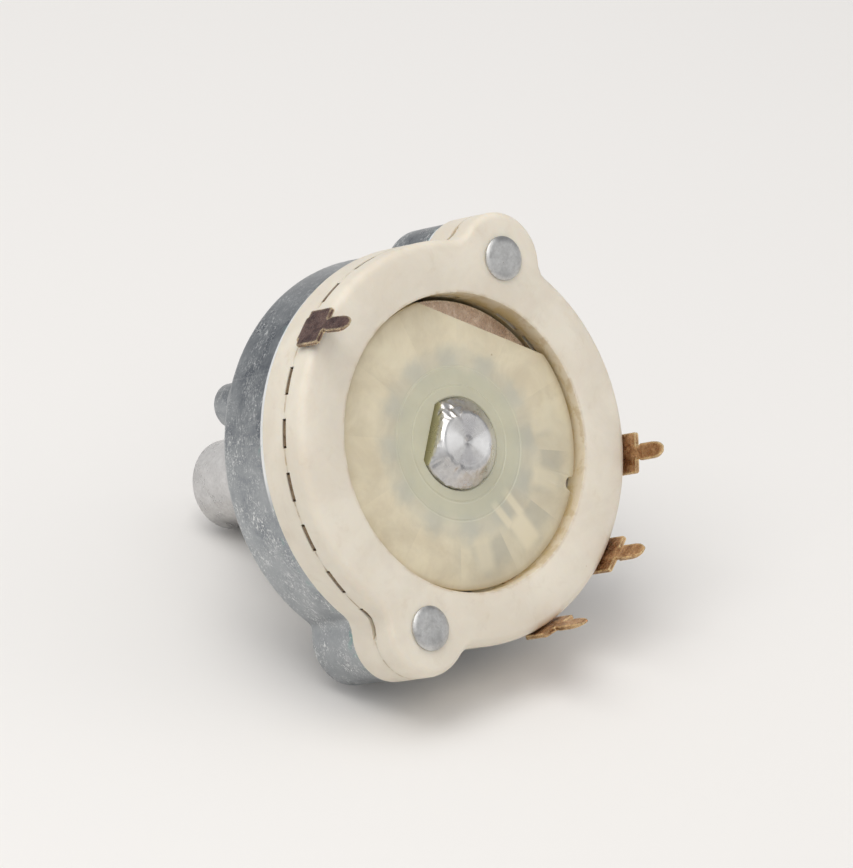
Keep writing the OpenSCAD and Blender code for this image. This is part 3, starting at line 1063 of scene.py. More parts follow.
@dataclass(frozen=True)
class TurnedMetal(Finish):
    """Turned metal with fine rings, pits and dirt in its corners."""

    base: Colour = (0.70, 0.69, 0.68)
    light: Colour = (0.93, 0.92, 0.91)
    dirt: Colour = (0.10, 0.07, 0.04)
    rough: float = 0.3
    rings: float = 0.5
    pits: float = 0.5
    pitch: float = 0.22
    end_z: float | None = None
    olive: Colour = (0.50, 0.47, 0.27)
    glint: Colour = (0.98, 0.975, 0.97)
    shade: Colour = (0.36, 0.35, 0.37)
    glint_turn: float = 78.0

    def paint(self, graph: Graph, shader: bpy.types.Node, at: Socket) -> None:
        """Paints rings, clouds, pits and dirt.

        Args:
            graph: the tree that takes the nodes.
            shader: the material's Principled shader.
            at: the place on the object.
        """
        cloud = FX.mottle.use(graph, at, size=1.2, low=0.3, high=0.68)
        fine = FX.mottle.use(graph, at, size=0.22, low=0.35, high=0.7)
        lines = FX.turned.use(graph, at, pitch=self.pitch, drift=0.12)
        hair = FX.scratches.use(graph, at, size=0.16, stretch=2.0, cover=0.5)
        pit = FX.specks.use(graph, at, spacing=0.55, size=0.13, share=0.3)
        dirt = FX.grime.use(graph, at, reach=0.5, amount=0.8, size=0.4)
        shine = graph.math("MULTIPLY", lines, self.rings)
        colour = graph.blend(cloud, self.base, self.light)
        colour = graph.blend(graph.math("MULTIPLY", shine, 0.5), colour, self.light)
        colour = graph.blend(graph.math("MULTIPLY", fine, 0.15), colour, self.dirt)
        colour = graph.blend(graph.math("MULTIPLY", hair, 0.4), colour, self.light)
        wall: Socket | float = 0.0
        if self.end_z is not None:
            colour, wall = self.tail(graph, at, colour, self.end_z)
        dark = graph.math("MAXIMUM", graph.math("MULTIPLY", pit, self.pits), dirt)
        colour = graph.blend(dark, colour, self.dirt)
        rough = graph.span(cloud, 0.0, 1.0, self.rough - 0.05, self.rough + 0.1)
        metal = graph.span(graph.math("MAXIMUM", dark, wall), 0.0, 1.0, 1.0, 0.4)
        height = graph.math("ADD", graph.math("SUBTRACT", shine, pit), graph.math("MULTIPLY", fine, 0.2))
        self.set(graph, shader, Base_Color=colour, Roughness=rough, Metallic=metal)
        self.bump(graph, shader, height, 0.01)

    def tail(self, graph: Graph, at: Socket, colour: Socket, end: float) -> tuple[Socket, Socket]:
        """Paints highlights and shade on the turned end face as painted light, and an olive colour on part of
        the tail's flat.

        Args:
            graph: the material's tree.
            at: the place on the object.
            colour: the metal's colour so far.
            end: height of the end face in mm.

        Returns:
            The colour with the tail's paint, and a mask of the side towards the flat.
        """
        polar = graph.put("ShaderNodeGroup", {"Vector": at}, node_tree=FX.polar.tree).outputs
        height = polar["Height"]
        # Painted highlight and painted shade: two light lobes and two darker lobes round the end face.
        off = graph.math("SUBTRACT", polar["Angle"], self.glint_turn)
        side = graph.math("COSINE", graph.math("RADIANS", graph.math("MULTIPLY", off, 2.0)))
        near = graph.span(height, end + 0.9, end + 1.1, 1.0, 0.0)
        glint = graph.math("MULTIPLY", graph.span(side, 0.1, 0.95), near)
        colour = graph.blend(graph.math("MULTIPLY", glint, 0.7), colour, self.glint)
        shade = graph.math("MULTIPLY", graph.span(side, -0.2, -0.9), near)
        shade = graph.math("MULTIPLY", shade, graph.span(polar["Radius"], 1.9, 1.2, 0.1, 0.4))
        colour = graph.blend(shade, colour, self.shade)
        y = graph.put("ShaderNodeSeparateXYZ", {0: at}).outputs[1]
        flat = graph.span(y, -2.02 * MM, -2.08 * MM)
        wall = graph.math("MULTIPLY", flat, graph.span(height, end + 0.5, end + 0.8))
        # An olive colour painted on the tail's flat, below a height of -1.2 mm.
        film = graph.math("MULTIPLY", wall, graph.span(height, -0.9, -1.2))
        return graph.blend(film, colour, self.olive), wall


@dataclass(frozen=True)
class BlackMoulding(Finish):
    """Black filled moulding with a fine matt grain."""

    body: Colour = (0.03, 0.028, 0.026)
    dust: Colour = (0.13, 0.12, 0.10)

    def paint(self, graph: Graph, shader: bpy.types.Node, at: Socket) -> None:
        """Paints grain and a film of dust.

        Args:
            graph: the tree that takes the nodes.
            shader: the material's Principled shader.
            at: the place on the object.
        """
        film = FX.mottle.use(graph, at, size=1.4, low=0.45, high=0.75)
        grain = FX.mottle.use(graph, at, size=0.12, low=0.3, high=0.7)
        colour = graph.blend(graph.math("MULTIPLY", film, 0.4), self.body, self.dust)
        self.set(graph, shader, Base_Color=colour, Roughness=graph.span(grain, 0.0, 1.0, 0.45, 0.65))
        self.bump(graph, shader, grain, 0.008)


@dataclass(frozen=True)
class PaleFloor(Finish):
    """Pale paper floor that can't be seen from below."""

    paper: Colour = (0.86, 0.84, 0.81)

    def paint(self, graph: Graph, shader: bpy.types.Node, at: Socket) -> None:
        """Paints faint clouds and hides the back of the sheet.

        Args:
            graph: the tree that takes the nodes.
            shader: the material's Principled shader.
            at: the place on the object.
        """
        cloud = graph.noise(at, 9.0, 2.0)
        shade = tuple(0.975 * c for c in self.paper)
        colour = graph.blend(cloud, self.paper, shade)
        self.set(graph, shader, Base_Color=colour, Roughness=0.75, Specular_IOR_Level=0.2)
        back = graph.put("ShaderNodeNewGeometry").outputs["Backfacing"]
        clear = graph.put("ShaderNodeBsdfTransparent").outputs[0]
        out = graph.tree.nodes["Material Output"]
        mixed = graph.put("ShaderNodeMixShader", {0: back, 1: shader.outputs[0], 2: clear})
        graph.feed(out.inputs["Surface"], mixed.outputs[0])


@dataclass
class Finishes:
    """Every material of the switch, each built once."""

    zinc: bpy.types.Material
    cream: bpy.types.Material
    nylon: bpy.types.Material
    nylon_inside: bpy.types.Material
    contact: bpy.types.Material
    dark_contact: bpy.types.Material
    stub: bpy.types.Material
    blade: bpy.types.Material
    rivet: bpy.types.Material
    shaft: bpy.types.Material
    nickel: bpy.types.Material
    steel: bpy.types.Material
    wire: bpy.types.Material
    ball: bpy.types.Material
    black: bpy.types.Material

    @classmethod
    def make(cls) -> "Finishes":
        """Builds every finish once.

        Returns:
            The set of finishes.
        """
        return cls(
            zinc=ZincPlate("zinc_plate").build(),
            cream=CreamInsulator("cream_insulator").build(),
            nylon=NaturalNylon("natural_nylon").build(),
            nylon_inside=NaturalNylon("natural_nylon_inside", cover=1.0).build(),
            contact=TarnishedBrass("bright_contact").build(),
            dark_contact=TarnishedBrass("dark_contact", Tarnish.DARK).build(),
            stub=TarnishedBrass("stub_brass", Tarnish.BROWN).build(),
            # The blade's brass is painted light: paler than the other brass, so that it looks lit in its
            # shaded recess.
            blade=TarnishedBrass("blade_brass", Tarnish.PAINTED_LIGHT).build(),
            rivet=TurnedMetal("rivet_metal", base=(0.46, 0.46, 0.455), light=(0.72, 0.72, 0.71),
                              rings=0.1, rough=0.42).build(),
            shaft=TurnedMetal("shaft_metal", base=(0.50, 0.495, 0.49), light=(0.72, 0.71, 0.70),
                              end_z=low("shaft").z).build(),
            nickel=TurnedMetal("nickel_bushing", base=(0.56, 0.53, 0.45), light=(0.78, 0.75, 0.66),
                               rings=0.15, pits=0.3).build(),
            steel=TurnedMetal("index_steel", base=(0.36, 0.37, 0.38), light=(0.56, 0.57, 0.58),
                              rings=0.2, rough=0.38).build(),
            wire=TurnedMetal("spring_wire", base=(0.45, 0.45, 0.45), rings=0.1, pits=0.2).build(),
            ball=TurnedMetal("ball_steel", base=(0.62, 0.62, 0.63), rings=0.0, pits=0.15,
                             rough=0.18).build(),
            black=BlackMoulding("black_moulding").build(),
        )


# ------------------------------------------------------------------ sizes from the frame


@dataclass(frozen=True)
class Plan:
    """Planes and main radii of the switch in mm, read from the frame."""

    tip: float
    rim: float
    part: float
    rear: float
    cup_r: float
    stator_r: float
    rotor_z: float

    @classmethod
    def read(cls) -> "Plan":
        """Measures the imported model.

        Returns:
            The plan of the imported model.
        """
        return cls(
            tip=high("shaft").z,
            rim=low("housing_cup").z,
            part=high("rear_stator").z,
            rear=low("rear_stator").z,
            cup_r=high("housing_cup").y,
            stator_r=high("rear_stator").y,
            rotor_z=low("rotor_disc").z,
        )


PLAN = Plan.read()
RIVET_X = (high("rivet_upper").x + low("rivet_upper").x) / 2


# ------------------------------------------------------------------ geometry nodes


class Recipe:
    """Geometry Nodes tree with named sizes, run once to give a plain mesh."""

    def __init__(self, name: str, material: bpy.types.Material) -> None:
        """Starts an empty tree.

        Args:
            name: name of the tree.
            material: the finish that its last node sets.
        """
        self.tree = bpy.data.node_groups.new(name, "GeometryNodeTree")
        self.material = material
        self.tree.interface.new_socket("Geometry", in_out="OUTPUT", socket_type="NodeSocketGeometry")
        self.graph = Graph(self.tree)
        self.source: bpy.types.Node | None = None
        self.values: dict[str, object] = {}

    def sizes(self, **values: float | int) -> dict[str, Socket]:
        """Args:
            values: a value for each input.

        Returns:
            The inputs' sockets inside the tree.
        """
        for name, value in values.items():
            kind = "NodeSocketInt" if isinstance(value, int) else FLOAT
            item = self.tree.interface.new_socket(name, in_out="INPUT", socket_type=kind)
            self.values[item.identifier] = value
        self.source = self.graph.put("NodeGroupInput")
        return {name: self.source.outputs[name] for name in values}

    def end(self, geometry: Socket) -> None:
        """Turns the result into metres, and ends the tree with Realize Instances and Set Material.

        Args:
            geometry: the geometry to end with.
        """
        metres = self.graph.put("GeometryNodeTransform", {"Geometry": geometry, "Scale": (MM, MM, MM)})
        real = self.graph.put("GeometryNodeRealizeInstances", {0: metres.outputs[0]}).outputs[0]
        done = self.graph.put("GeometryNodeSetMaterial", {"Geometry": real, "Material": self.material})
        self.graph.put("NodeGroupOutput", {0: done.outputs[0]})

    def mesh(self) -> bpy.types.Mesh:
        """Runs the tree.

        Returns:
            The tree's result as a plain mesh.
        """
        holder = bpy.data.objects.new(self.tree.name, bpy.data.meshes.new(self.tree.name))
        bpy.context.scene.collection.objects.link(holder)
        modifier = holder.modifiers.new("recipe", "NODES")
        modifier.node_group = self.tree
        for identifier, value in self.values.items():
            modifier[identifier] = value
        holder.update_tag()
        bpy.context.view_layer.update()
        graph = bpy.context.evaluated_depsgraph_get()
        result = bpy.data.meshes.new_from_object(holder.evaluated_get(graph))
        holder.modifiers.remove(modifier)
        bpy.data.objects.remove(holder)
        return result


@dataclass(frozen=True)
class BlockRow:
    """Blocks that lie at even turns round the axis and reach outwards, in mm."""

    count: int
    root: float
    length: float
    width: float
    depth: float
    height: float
    trim: float = 0.0
    skipped: tuple[int, ...] = ()

    def mesh(self, name: str, material: bpy.types.Material) -> bpy.types.Mesh:
        """Sets a block at each turn that isn't skipped, and shortens the first by its trim.

        Args:
            name: name of the tree.
            material: the blocks' finish.

        Returns:
            The blocks as one plain mesh.
        """
        recipe = Recipe(name, material)
        size = recipe.sizes(Count=self.count, Root=self.root, Length=self.length, Width=self.width,
                            Depth=self.depth, Height=self.height, Trim=self.trim)
        graph = recipe.graph
        seats = graph.put("GeometryNodeMeshCircle", {
            "Vertices": size["Count"], "Radius": size["Root"]}).outputs[0]
        form = graph.put("ShaderNodeCombineXYZ", {
            0: size["Length"], 1: size["Width"], 2: size["Depth"]}).outputs[0]
        cube = graph.put("GeometryNodeMeshCube", {"Size": form}).outputs[0]
        half = graph.put("ShaderNodeCombineXYZ", {0: graph.math("MULTIPLY", size["Length"], 0.5)}).outputs[0]
        block = graph.put("GeometryNodeTransform", {"Geometry": cube, "Translation": half}).outputs[0]
        index = graph.put("GeometryNodeInputIndex").outputs[0]
        first = graph.math("LESS_THAN", index, 0.5)
        reach = graph.math("SUBTRACT", 1.0, graph.math("MULTIPLY", first, size["Trim"]))
        shape = graph.put("ShaderNodeCombineXYZ", {0: reach, 1: 1.0, 2: 1.0}).outputs[0]
        step = graph.math("DIVIDE", 2 * math.pi, size["Count"])
        turn = graph.put("ShaderNodeCombineXYZ", {2: graph.math("MULTIPLY", index, step)}).outputs[0]
        spin = graph.put("FunctionNodeEulerToRotation", {0: turn}).outputs[0]
        laid: Inputs = {"Points": seats, "Instance": block, "Rotation": spin, "Scale": shape}
        if self.skipped:
            laid["Selection"] = self.kept(graph, index)
        spread = graph.put("GeometryNodeInstanceOnPoints", laid).outputs[0]
        lift = graph.put("ShaderNodeCombineXYZ", {2: size["Height"]}).outputs[0]
        recipe.end(graph.put("GeometryNodeTransform", {"Geometry": spread, "Translation": lift}).outputs[0])
        return recipe.mesh()

    def kept(self, graph: Graph, index: Socket) -> Socket:
        """Marks the turns that hold a block.

        Args:
            graph: the tree.
            index: the turn's number.

        Returns:
            1 at each turn that isn't skipped, and 0 elsewhere.
        """
        empty = graph.math("ADD", 0.0, 0.0)
        for number in self.skipped:
            here = graph.math("COMPARE", index, float(number))
            here.node.inputs[2].default_value = 0.1
            empty = graph.math("MAXIMUM", empty, here)
        return graph.math("SUBTRACT", 1.0, empty)


def softened(mesh: bpy.types.Mesh, width: float) -> bpy.types.Mesh:
    """Bevels the sharp edges of a mesh.

    Args:
        mesh: the mesh, in metres.
        width: width of the bevel in mm.

    Returns:
        The same mesh, changed.
    """
    bm = bmesh.new()
    bm.from_mesh(mesh)
    bmesh.ops.remove_doubles(bm, verts=bm.verts, dist=MERGE * MM)
    sharp = [e for e in bm.edges if len(e.link_faces) == 2 and e.calc_face_angle() > 0.6]
    bmesh.ops.bevel(bm, geom=sharp, offset=width * MM, segments=2, affect="EDGES", profile=0.5)
    bmesh.ops.recalc_face_normals(bm, faces=bm.faces)
    bm.to_mesh(mesh)
    bm.free()
    return mesh


def outward(mesh: bpy.types.Mesh, merge: bool = False) -> bpy.types.Mesh:
    """Turns the faces of a swept mesh outwards.

    Args:
        mesh: the mesh, in metres.
        merge: whether points that lie together are joined first.

    Returns:
        The same mesh.
    """
    bm = bmesh.new()
    bm.from_mesh(mesh)
    if merge:
        bmesh.ops.remove_doubles(bm, verts=bm.verts, dist=MERGE * MM)
    bmesh.ops.recalc_face_normals(bm, faces=bm.faces)
    bm.to_mesh(mesh)
    bm.free()
    return mesh


# ------------------------------------------------------------------ the housing


@dataclass
class Cup:
    """Pressed zinc cup with two ears and a raised front panel, and its peg."""

    wall: float = 0.8
    ear_r: float = 2.95
    panel_r: float = 12.4
    panel_flat: float = 11.1
    rise: float = 0.8
    edge: float = 0.5
    bore: float = 5.3
    peg_r: float = 1.5
    peg_neck: float = 1.7
    peg_tip: float = field(default_factory=lambda: high("locating_peg").z)

    def dent(self, point: Point) -> Point:
        """Moves a point of the sheet by the small waves of a pressing."""
        k = 1 + 0.0012 * grain_at(point, 3.2)
        return point[0] * k, point[1] * k, point[2]

    def build(self, fin: Finishes) -> None:
        """Builds the cup and the peg.

        Args:
            fin: the finishes of the switch.
        """
        angles = even_angles(720)
        out = Lobed(PLAN.cup_r, self.ear_r, RIVET_X)
        inner = Lobed(PLAN.cup_r - self.wall, self.ear_r - self.wall, RIVET_X)
        panel = Flatted(self.panel_r, self.panel_flat)
        recess = Flatted(self.panel_r - self.wall, self.panel_flat - self.wall)
        hole = Round(self.bore)
        rim, ear, e = PLAN.rim, -self.rise, self.edge
        rings = [inner.ring(angles, rim + 0.1), inner.ring(angles, rim, -0.1),
                 out.ring(angles, rim, 0.1), out.ring(angles, rim + 0.03, 0.03),
                 out.ring(angles, rim + 0.1)]
        rings += [out.ring(angles, rim + 0.1 + (ear - e - rim - 0.1) * t / 5) for t in range(1, 5)]
        rings += [out.ring(angles, ear - e * (1 - math.sin(t)), e * (1 - math.cos(t)))
                  for t in (0.0, 0.3, 0.6, 0.9, 1.2, 1.5708)]
        rings += [panel.ring(angles, ear, -0.07), panel.ring(angles, ear + 0.04, 0.0),
                  panel.ring(angles, -0.34, 0.06)]
        rings += [panel.ring(angles, -0.3 * (1 - math.sin(t)), 0.06 + 0.3 * (1 - math.cos(t)))
                  for t in (0.0, 0.4, 0.8, 1.2, 1.5708)]
        rings += [hole.ring(angles, 0.0, -3.0), hole.ring(angles, 0.0), hole.ring(angles, -self.wall)]
        rings += [recess.ring(angles, -self.wall), recess.ring(angles, ear - self.wall + 0.05),
                  inner.ring(angles, ear - self.wall, 0.15), inner.ring(angles, ear - self.wall - 0.2)]
        cup = Solid("housing_cup_shell")
        cup.loft(rings, loop=True)
        cup.move(0, self.dent)
        cup.finish(fin.zinc, "housing", "zinc_plate", ["housing_cup"])
        self.peg(fin)

    def peg(self, fin: Finishes) -> None:
        """Builds the staked peg.

        Args:
            fin: the finishes of the switch.
        """
        lo, hi = low("locating_peg"), high("locating_peg")
        at = ((lo.x + hi.x) / 2, (lo.y + hi.y) / 2)
        r, tip, chamfer = self.peg_r, self.peg_tip, 0.4
        peg = Solid("locating_peg_turned")
        peg.lathe([(self.peg_neck, -self.wall), (self.peg_neck, 0.02), (self.peg_neck - 0.06, 0.05),
                   (r + 0.05, 0.05), (r, 0.1), (r, tip - chamfer - 0.03),
                   (r - 0.03, tip - chamfer + 0.03), (r - chamfer + 0.05, tip - 0.05),
                   (r - chamfer, tip), (0.55, tip), (0.5, tip - 0.05), (0.0, tip - 0.06)], at, 64)
        peg.finish(fin.zinc, "housing", "zinc_plate", ["locating_peg"])


@dataclass
class Bushing:
    """Plated bushing with a fine thread, staked into the cup."""

    core_r: float = 4.62
    crest: float = 0.375
    pitch: float = 0.75
    length: float = field(default_factory=lambda: high("threaded_bushing").z)
    bore: float = 3.03
    neck: float = 5.3
    foot: float = -0.8

    def build(self, fin: Finishes) -> None:
        """Builds the body and winds its thread.

        Args:
            fin: the finishes of the switch.
        """
        r, end = self.core_r, self.length
        body = Solid("bushing_body")
        body.lathe([(self.bore, self.foot), (self.neck, self.foot), (self.neck, 0.0),
                    (self.neck - 0.08, 0.06), (r + 0.2, 0.06), (r, 0.25), (r, end - 0.35),
                    (r - 0.12, end - 0.06), (r - 0.18, end), (self.bore + 0.15, end),
                    (self.bore, end - 0.15)], steps=96, loop=True)
        body.finish(fin.nickel, "housing", "nickel_bushing", ["threaded_bushing"])
        thread = place("bushing_thread", self.thread(fin), fin.nickel, "housing")
        LOG.info("%s: wound at %.2f mm pitch", thread.name, self.pitch)

    def thread(self, fin: Finishes) -> bpy.types.Mesh:
        """Makes the thread's ridge, a diamond swept along a helix.

        Args:
            fin: the finishes of the switch.

        Returns:
            The thread's ridge, a diamond swept along a helix.
        """
        recipe = Recipe("helical_thread", fin.nickel)
        foot, turns = 0.62, (self.length - 1.35) / self.pitch
        size = recipe.sizes(Radius=self.core_r, Turns=turns, Height=turns * self.pitch,
                            Ridge=self.crest, Foot=foot, Steps=72, Sides=4)
        graph = recipe.graph
        helix = graph.put("GeometryNodeCurveSpiral", {
            "Resolution": size["Steps"], "Rotations": size["Turns"], "Start Radius": size["Radius"],
            "End Radius": size["Radius"], "Height": size["Height"]}).outputs[0]
        upright = graph.put("GeometryNodeSetCurveNormal", {0: helix}, mode="Z_UP").outputs[0]
        ridge = graph.put("GeometryNodeCurvePrimitiveCircle", {
            "Resolution": size["Sides"], "Radius": size["Ridge"]}).outputs[0]
        swept = graph.put("GeometryNodeCurveToMesh", {
            "Curve": upright, "Profile Curve": ridge, "Fill Caps": True}).outputs[0]
        lift = graph.put("ShaderNodeCombineXYZ", {2: size["Foot"]}).outputs[0]
        moved = graph.put("GeometryNodeTransform", {"Geometry": swept, "Translation": lift}).outputs[0]
        recipe.end(moved)
        return outward(recipe.mesh())


class Half(Enum):
    """The stator's two halves."""

    FRONT = "front_stator"
    REAR = "rear_stator"


@dataclass
class StatorHalf:
    """One half of the stator: a lobed ring with half of each contact slot."""

    half: Half
    ear_r: float = 3.1
    window_r: float = 9.7
    positions: int = 24
    slot_w: float = 1.9
    slot_h: float = 0.38
    rear_edge: float = 0.6
    joint: float = 0.04
    seam: float = 0.004
    pillar_r: float = 2.05
    pillar_top: float = -1.65

    def stations(self) -> list[tuple[float, float, int]]:
        """Works out the outer angle, inner angle and depth flag of each place round the ring.

        Returns:
            The outer angle, inner angle and depth flag of each place round the ring.
        """
        out: list[tuple[float, float, int]] = []
        pitch = 2 * math.pi / self.positions
        ears = (0, self.positions // 2)
        wide_o = math.asin(self.slot_w / 2 / PLAN.stator_r)
        wide_i = math.asin(self.slot_w / 2 / self.window_r)
        for k in range(self.positions):
            a = k * pitch
            nxt = (k + 1) % self.positions
            here_o, here_i = (0.0, 0.0) if k in ears else (wide_o, wide_i)
            next_o, next_i = (0.0, 0.0) if nxt in ears else (wide_o, wide_i)
            if k not in ears:
                out.append((a - wide_o, a - wide_i, 0))
                out += [(a + wide_o * t, a + wide_i * t, 1) for t in (-1, -0.9, -0.5, 0, 0.5, 0.9, 1)]
                out.append((a + wide_o, a + wide_i, 0))
            else:
                out.append((a, a, 0))
            steps = 40 if (k in ears or nxt in ears) else 9
            for j in range(1, steps):
                t = j / steps
                span_o, span_i = pitch - here_o - next_o, pitch - here_i - next_i
                out.append((a + here_o + span_o * t, a + here_i + span_i * t, 0))
        return out

    def build(self, fin: Finishes) -> None:
        """Builds the half.

        Args:
            fin: the finishes of the switch.
        """
        front = self.half is Half.FRONT
        outline, window = Lobed(PLAN.stator_r, self.ear_r, RIVET_X, 0.8), Round(self.window_r)
        place_all = self.stations()
        outer, inner = [s[0] for s in place_all], [s[1] for s in place_all]
        flags = [s[2] for s in place_all]
        side = 1.0 if front else -1.0
        far_z = PLAN.rim if front else PLAN.rear
        edge = 0.15 if front else self.rear_edge

        def stepped(ring: Ring, flat: float, deep: float) -> Ring:
            """Sets heights off the joint: one for plain places and one for slots."""
            return [(p[0], p[1], PLAN.part + side * (deep if f else flat)) for p, f in zip(ring, flags)]

        deep = self.slot_h / 2
        rings = [stepped(outline.ring(outer, 0.0, self.joint), self.seam, deep),
                 stepped(outline.ring(outer, 0.0, 0.0), self.joint + self.seam, deep + 0.02)]
        rings += [outline.ring(outer, far_z - side * edge * (1 - math.sin(t)), edge * (1 - math.cos(t)))
                  for t in (0.0, 0.26, 0.52, 0.79, 1.05, 1.31, 1.5708)]
        lip = 0.12
        rings += [window.ring(inner, far_z, -lip), window.ring(inner, far_z - side * 0.035, -0.035),
                  window.ring(inner, far_z - side * lip), stepped(window.ring(inner, 0.0), self.seam, deep)]
        solid = Solid(f"stator_half_{self.half.name.lower()}")
        solid.loft(rings, loop=True)
        solid.move(0, lambda p: (
            p[0], p[1], p[2] + 0.012 * grain_at(p, 4.0, 3.0) * (abs(p[2] - far_z) < edge)))
        if front:
            for s in (-1, 1):
                solid.lathe([(0.0, PLAN.rim - 0.3), (self.pillar_r, PLAN.rim - 0.3),
                             (self.pillar_r, self.pillar_top - 0.1), (self.pillar_r - 0.1, self.pillar_top),
                             (0.0, self.pillar_top)], (s * RIVET_X, 0.0), 32)
        solid.finish(fin.cream, "housing", "cream_insulator", [self.half.value])


@dataclass
class SlotStubs:
    """Ends of the tarnished blanking strips that fill the unused slots."""

    used: tuple[int, ...] = (0, 12, 5, 7, 9, 19)
    positions: int = 24
    out_r: float = 13.16
    length: float = 1.6
    width: float = 1.6
    thick: float = 0.25

    def build(self, fin: Finishes) -> None:
        """Sets a stub in each unused slot.

        Args:
            fin: the finishes of the switch.
        """
        row = BlockRow(self.positions, self.out_r - self.length, self.length, self.width, self.thick,
                       PLAN.part, skipped=self.used)
        mesh = softened(row.mesh("slot_stubs", fin.stub), 0.05)
        place("slot_stubs", mesh, fin.stub, "housing")


@dataclass
class Contact:
    """Bent contact: a strip through its slot, a shoulder and a coined solder pin."""

    node: str
    angle: float
    dark: bool = False
    thick: float = 0.3
    strip_w: float = 1.7
    shoulder_w: float = 2.7
    shoulder_l: float = 2.55
    pin_w: float = 1.1
    waist_w: float = 0.86
    in_r: float = 8.6
    out_r: float = 13.6
    bend: float = 0.32
    splay: float = 0.0

    def stations(self) -> list[tuple[float, float, float, float, float]]:
        """Lists the cross-sections along the strip.

        Returns:
            The radius, height, slope, width and thickness at each.
        """
        mid_z, mid_r, b = PLAN.part, self.out_r - self.thick / 2, self.bend
        tip = low(self.node).z
        rows: list[tuple[float, float, float, float, float]] = []
        for r, w, t in ((self.in_r, 1.2, 0.12), (self.in_r + 0.12, 1.6, 0.26),
                        (self.in_r + 0.3, self.strip_w, self.thick)):
            rows.append((r, mid_z, 0.0, w, t))
        run = mid_r - b - self.in_r - 0.3
        rows += [(self.in_r + 0.3 + run * i / 6, mid_z, 0.0, self.strip_w, self.thick) for i in range(1, 7)]
        for i in range(1, 9):
            a = math.pi / 2 * i / 8
            rows.append((mid_r - b + b * math.sin(a), mid_z - b + b * math.cos(a), a, self.strip_w,
                         self.thick))
        top = mid_z - b - 0.06
        end = mid_z - self.shoulder_l
        down = math.pi / 2
        for z, w in ((top, self.strip_w), (top - 0.03, self.shoulder_w - 0.12), (top - 0.09, self.shoulder_w),
                     (end + 0.12, self.shoulder_w), (end + 0.05, self.shoulder_w - 0.04),
                     (end, self.shoulder_w - 0.14), (end - 0.02, self.waist_w + 0.1),
                     (end - 0.1, self.waist_w), (end - 0.26, self.waist_w), (end - 0.5, self.pin_w),
                     (end - 1.2, self.pin_w)):
            rows.append((mid_r, z, down, w, self.thick))
        long = end - 1.2 - tip
        for share, w, t in ((0.35, 1.0, 0.98), (0.6, 0.93, 0.85), (0.78, 0.76, 0.66), (0.9, 0.56, 0.5),
                            (0.97, 0.4, 0.4), (1.0, 0.28, 0.3)):
            rows.append((mid_r, end - 1.2 - long * share, down, self.pin_w * w, self.thick * t))
        return rows

    def build(self, fin: Finishes) -> None:
        """Builds the contact.

        Args:
            fin: the finishes of the switch.
        """
        rings = []
        for r, z, slope, width, thick in self.stations():
            w, t = width / 2, thick / 2
            c = min(0.05, 0.45 * t)
            corners = ((-w, -t + c), (-w + c, -t), (-w * 0.4, -t), (w * 0.4, -t), (w - c, -t), (w, -t + c),
                       (w, t - c), (w - c, t), (w * 0.4, t), (-w * 0.4, t), (-w + c, t), (-w, t - c))
            ring = []
            for across, up in corners:
                pr, pz = r + up * math.sin(slope), z + up * math.cos(slope)
                tilt = max(0.0, (PLAN.part - self.shoulder_l - pz)) * self.splay
                x, y = turned_point(pr, across + tilt, self.angle)
                ring.append((x, y, pz))
            rings.append(ring)
        solid = Solid(f"{self.node}_strip")
        solid.loft(rings)
        solid.move(0, lambda p: (
            p[0] + 0.01 * grain_at(p, 0.6, 1.0), p[1] + 0.01 * grain_at(p, 0.6, 5.0), p[2]))
        dark = self.dark
        slot = "dark_contact" if dark else "bright_contact"
        solid.finish(fin.dark_contact if dark else fin.contact, "housing", slot, [self.node], 40.0)


@dataclass
class Rivet:
    """Flat-headed rivet, a little domed, with a softly hammered head."""

    node: str
    side: int
    head_r: float = 1.45
    head_h: float = 0.4
    shank_r: float = 1.0
    tail_r: float = 1.4

    def build(self, fin: Finishes) -> None:
        """Builds the rivet.

        Args:
            fin: the finishes of the switch.
        """
        lo, hi = low(self.node).z, high(self.node).z
        face = lo + self.head_h
        ear = hi - 0.4
        r, t = self.head_r, self.tail_r
        solid = Solid(f"{self.node}_headed")
        solid.lathe([(0.0, lo), (0.35, lo), (0.7, lo + 0.01), (1.0, lo + 0.035), (1.22, lo + 0.075),
                     (1.36, lo + 0.14), (r, lo + 0.23), (r, face - 0.05), (r - 0.06, face),
                     (self.shank_r, face), (self.shank_r, ear), (t - 0.04, ear), (t, ear + 0.05),
                     (t, ear + 0.22), (t - 0.1, ear + 0.33), (t - 0.4, ear + 0.39), (0.4, ear + 0.4),
                     (0.0, hi)], (self.side * RIVET_X, 0.0), 72)
        solid.move(0, lambda p: (p[0], p[1], p[2] + 0.03 * max(0.0, grain_at(p, 0.7, 2.0)) * (p[2] < face)))
        solid.finish(fin.rivet, "housing", "rivet_metal", [self.node])


# ------------------------------------------------------------------ what turns


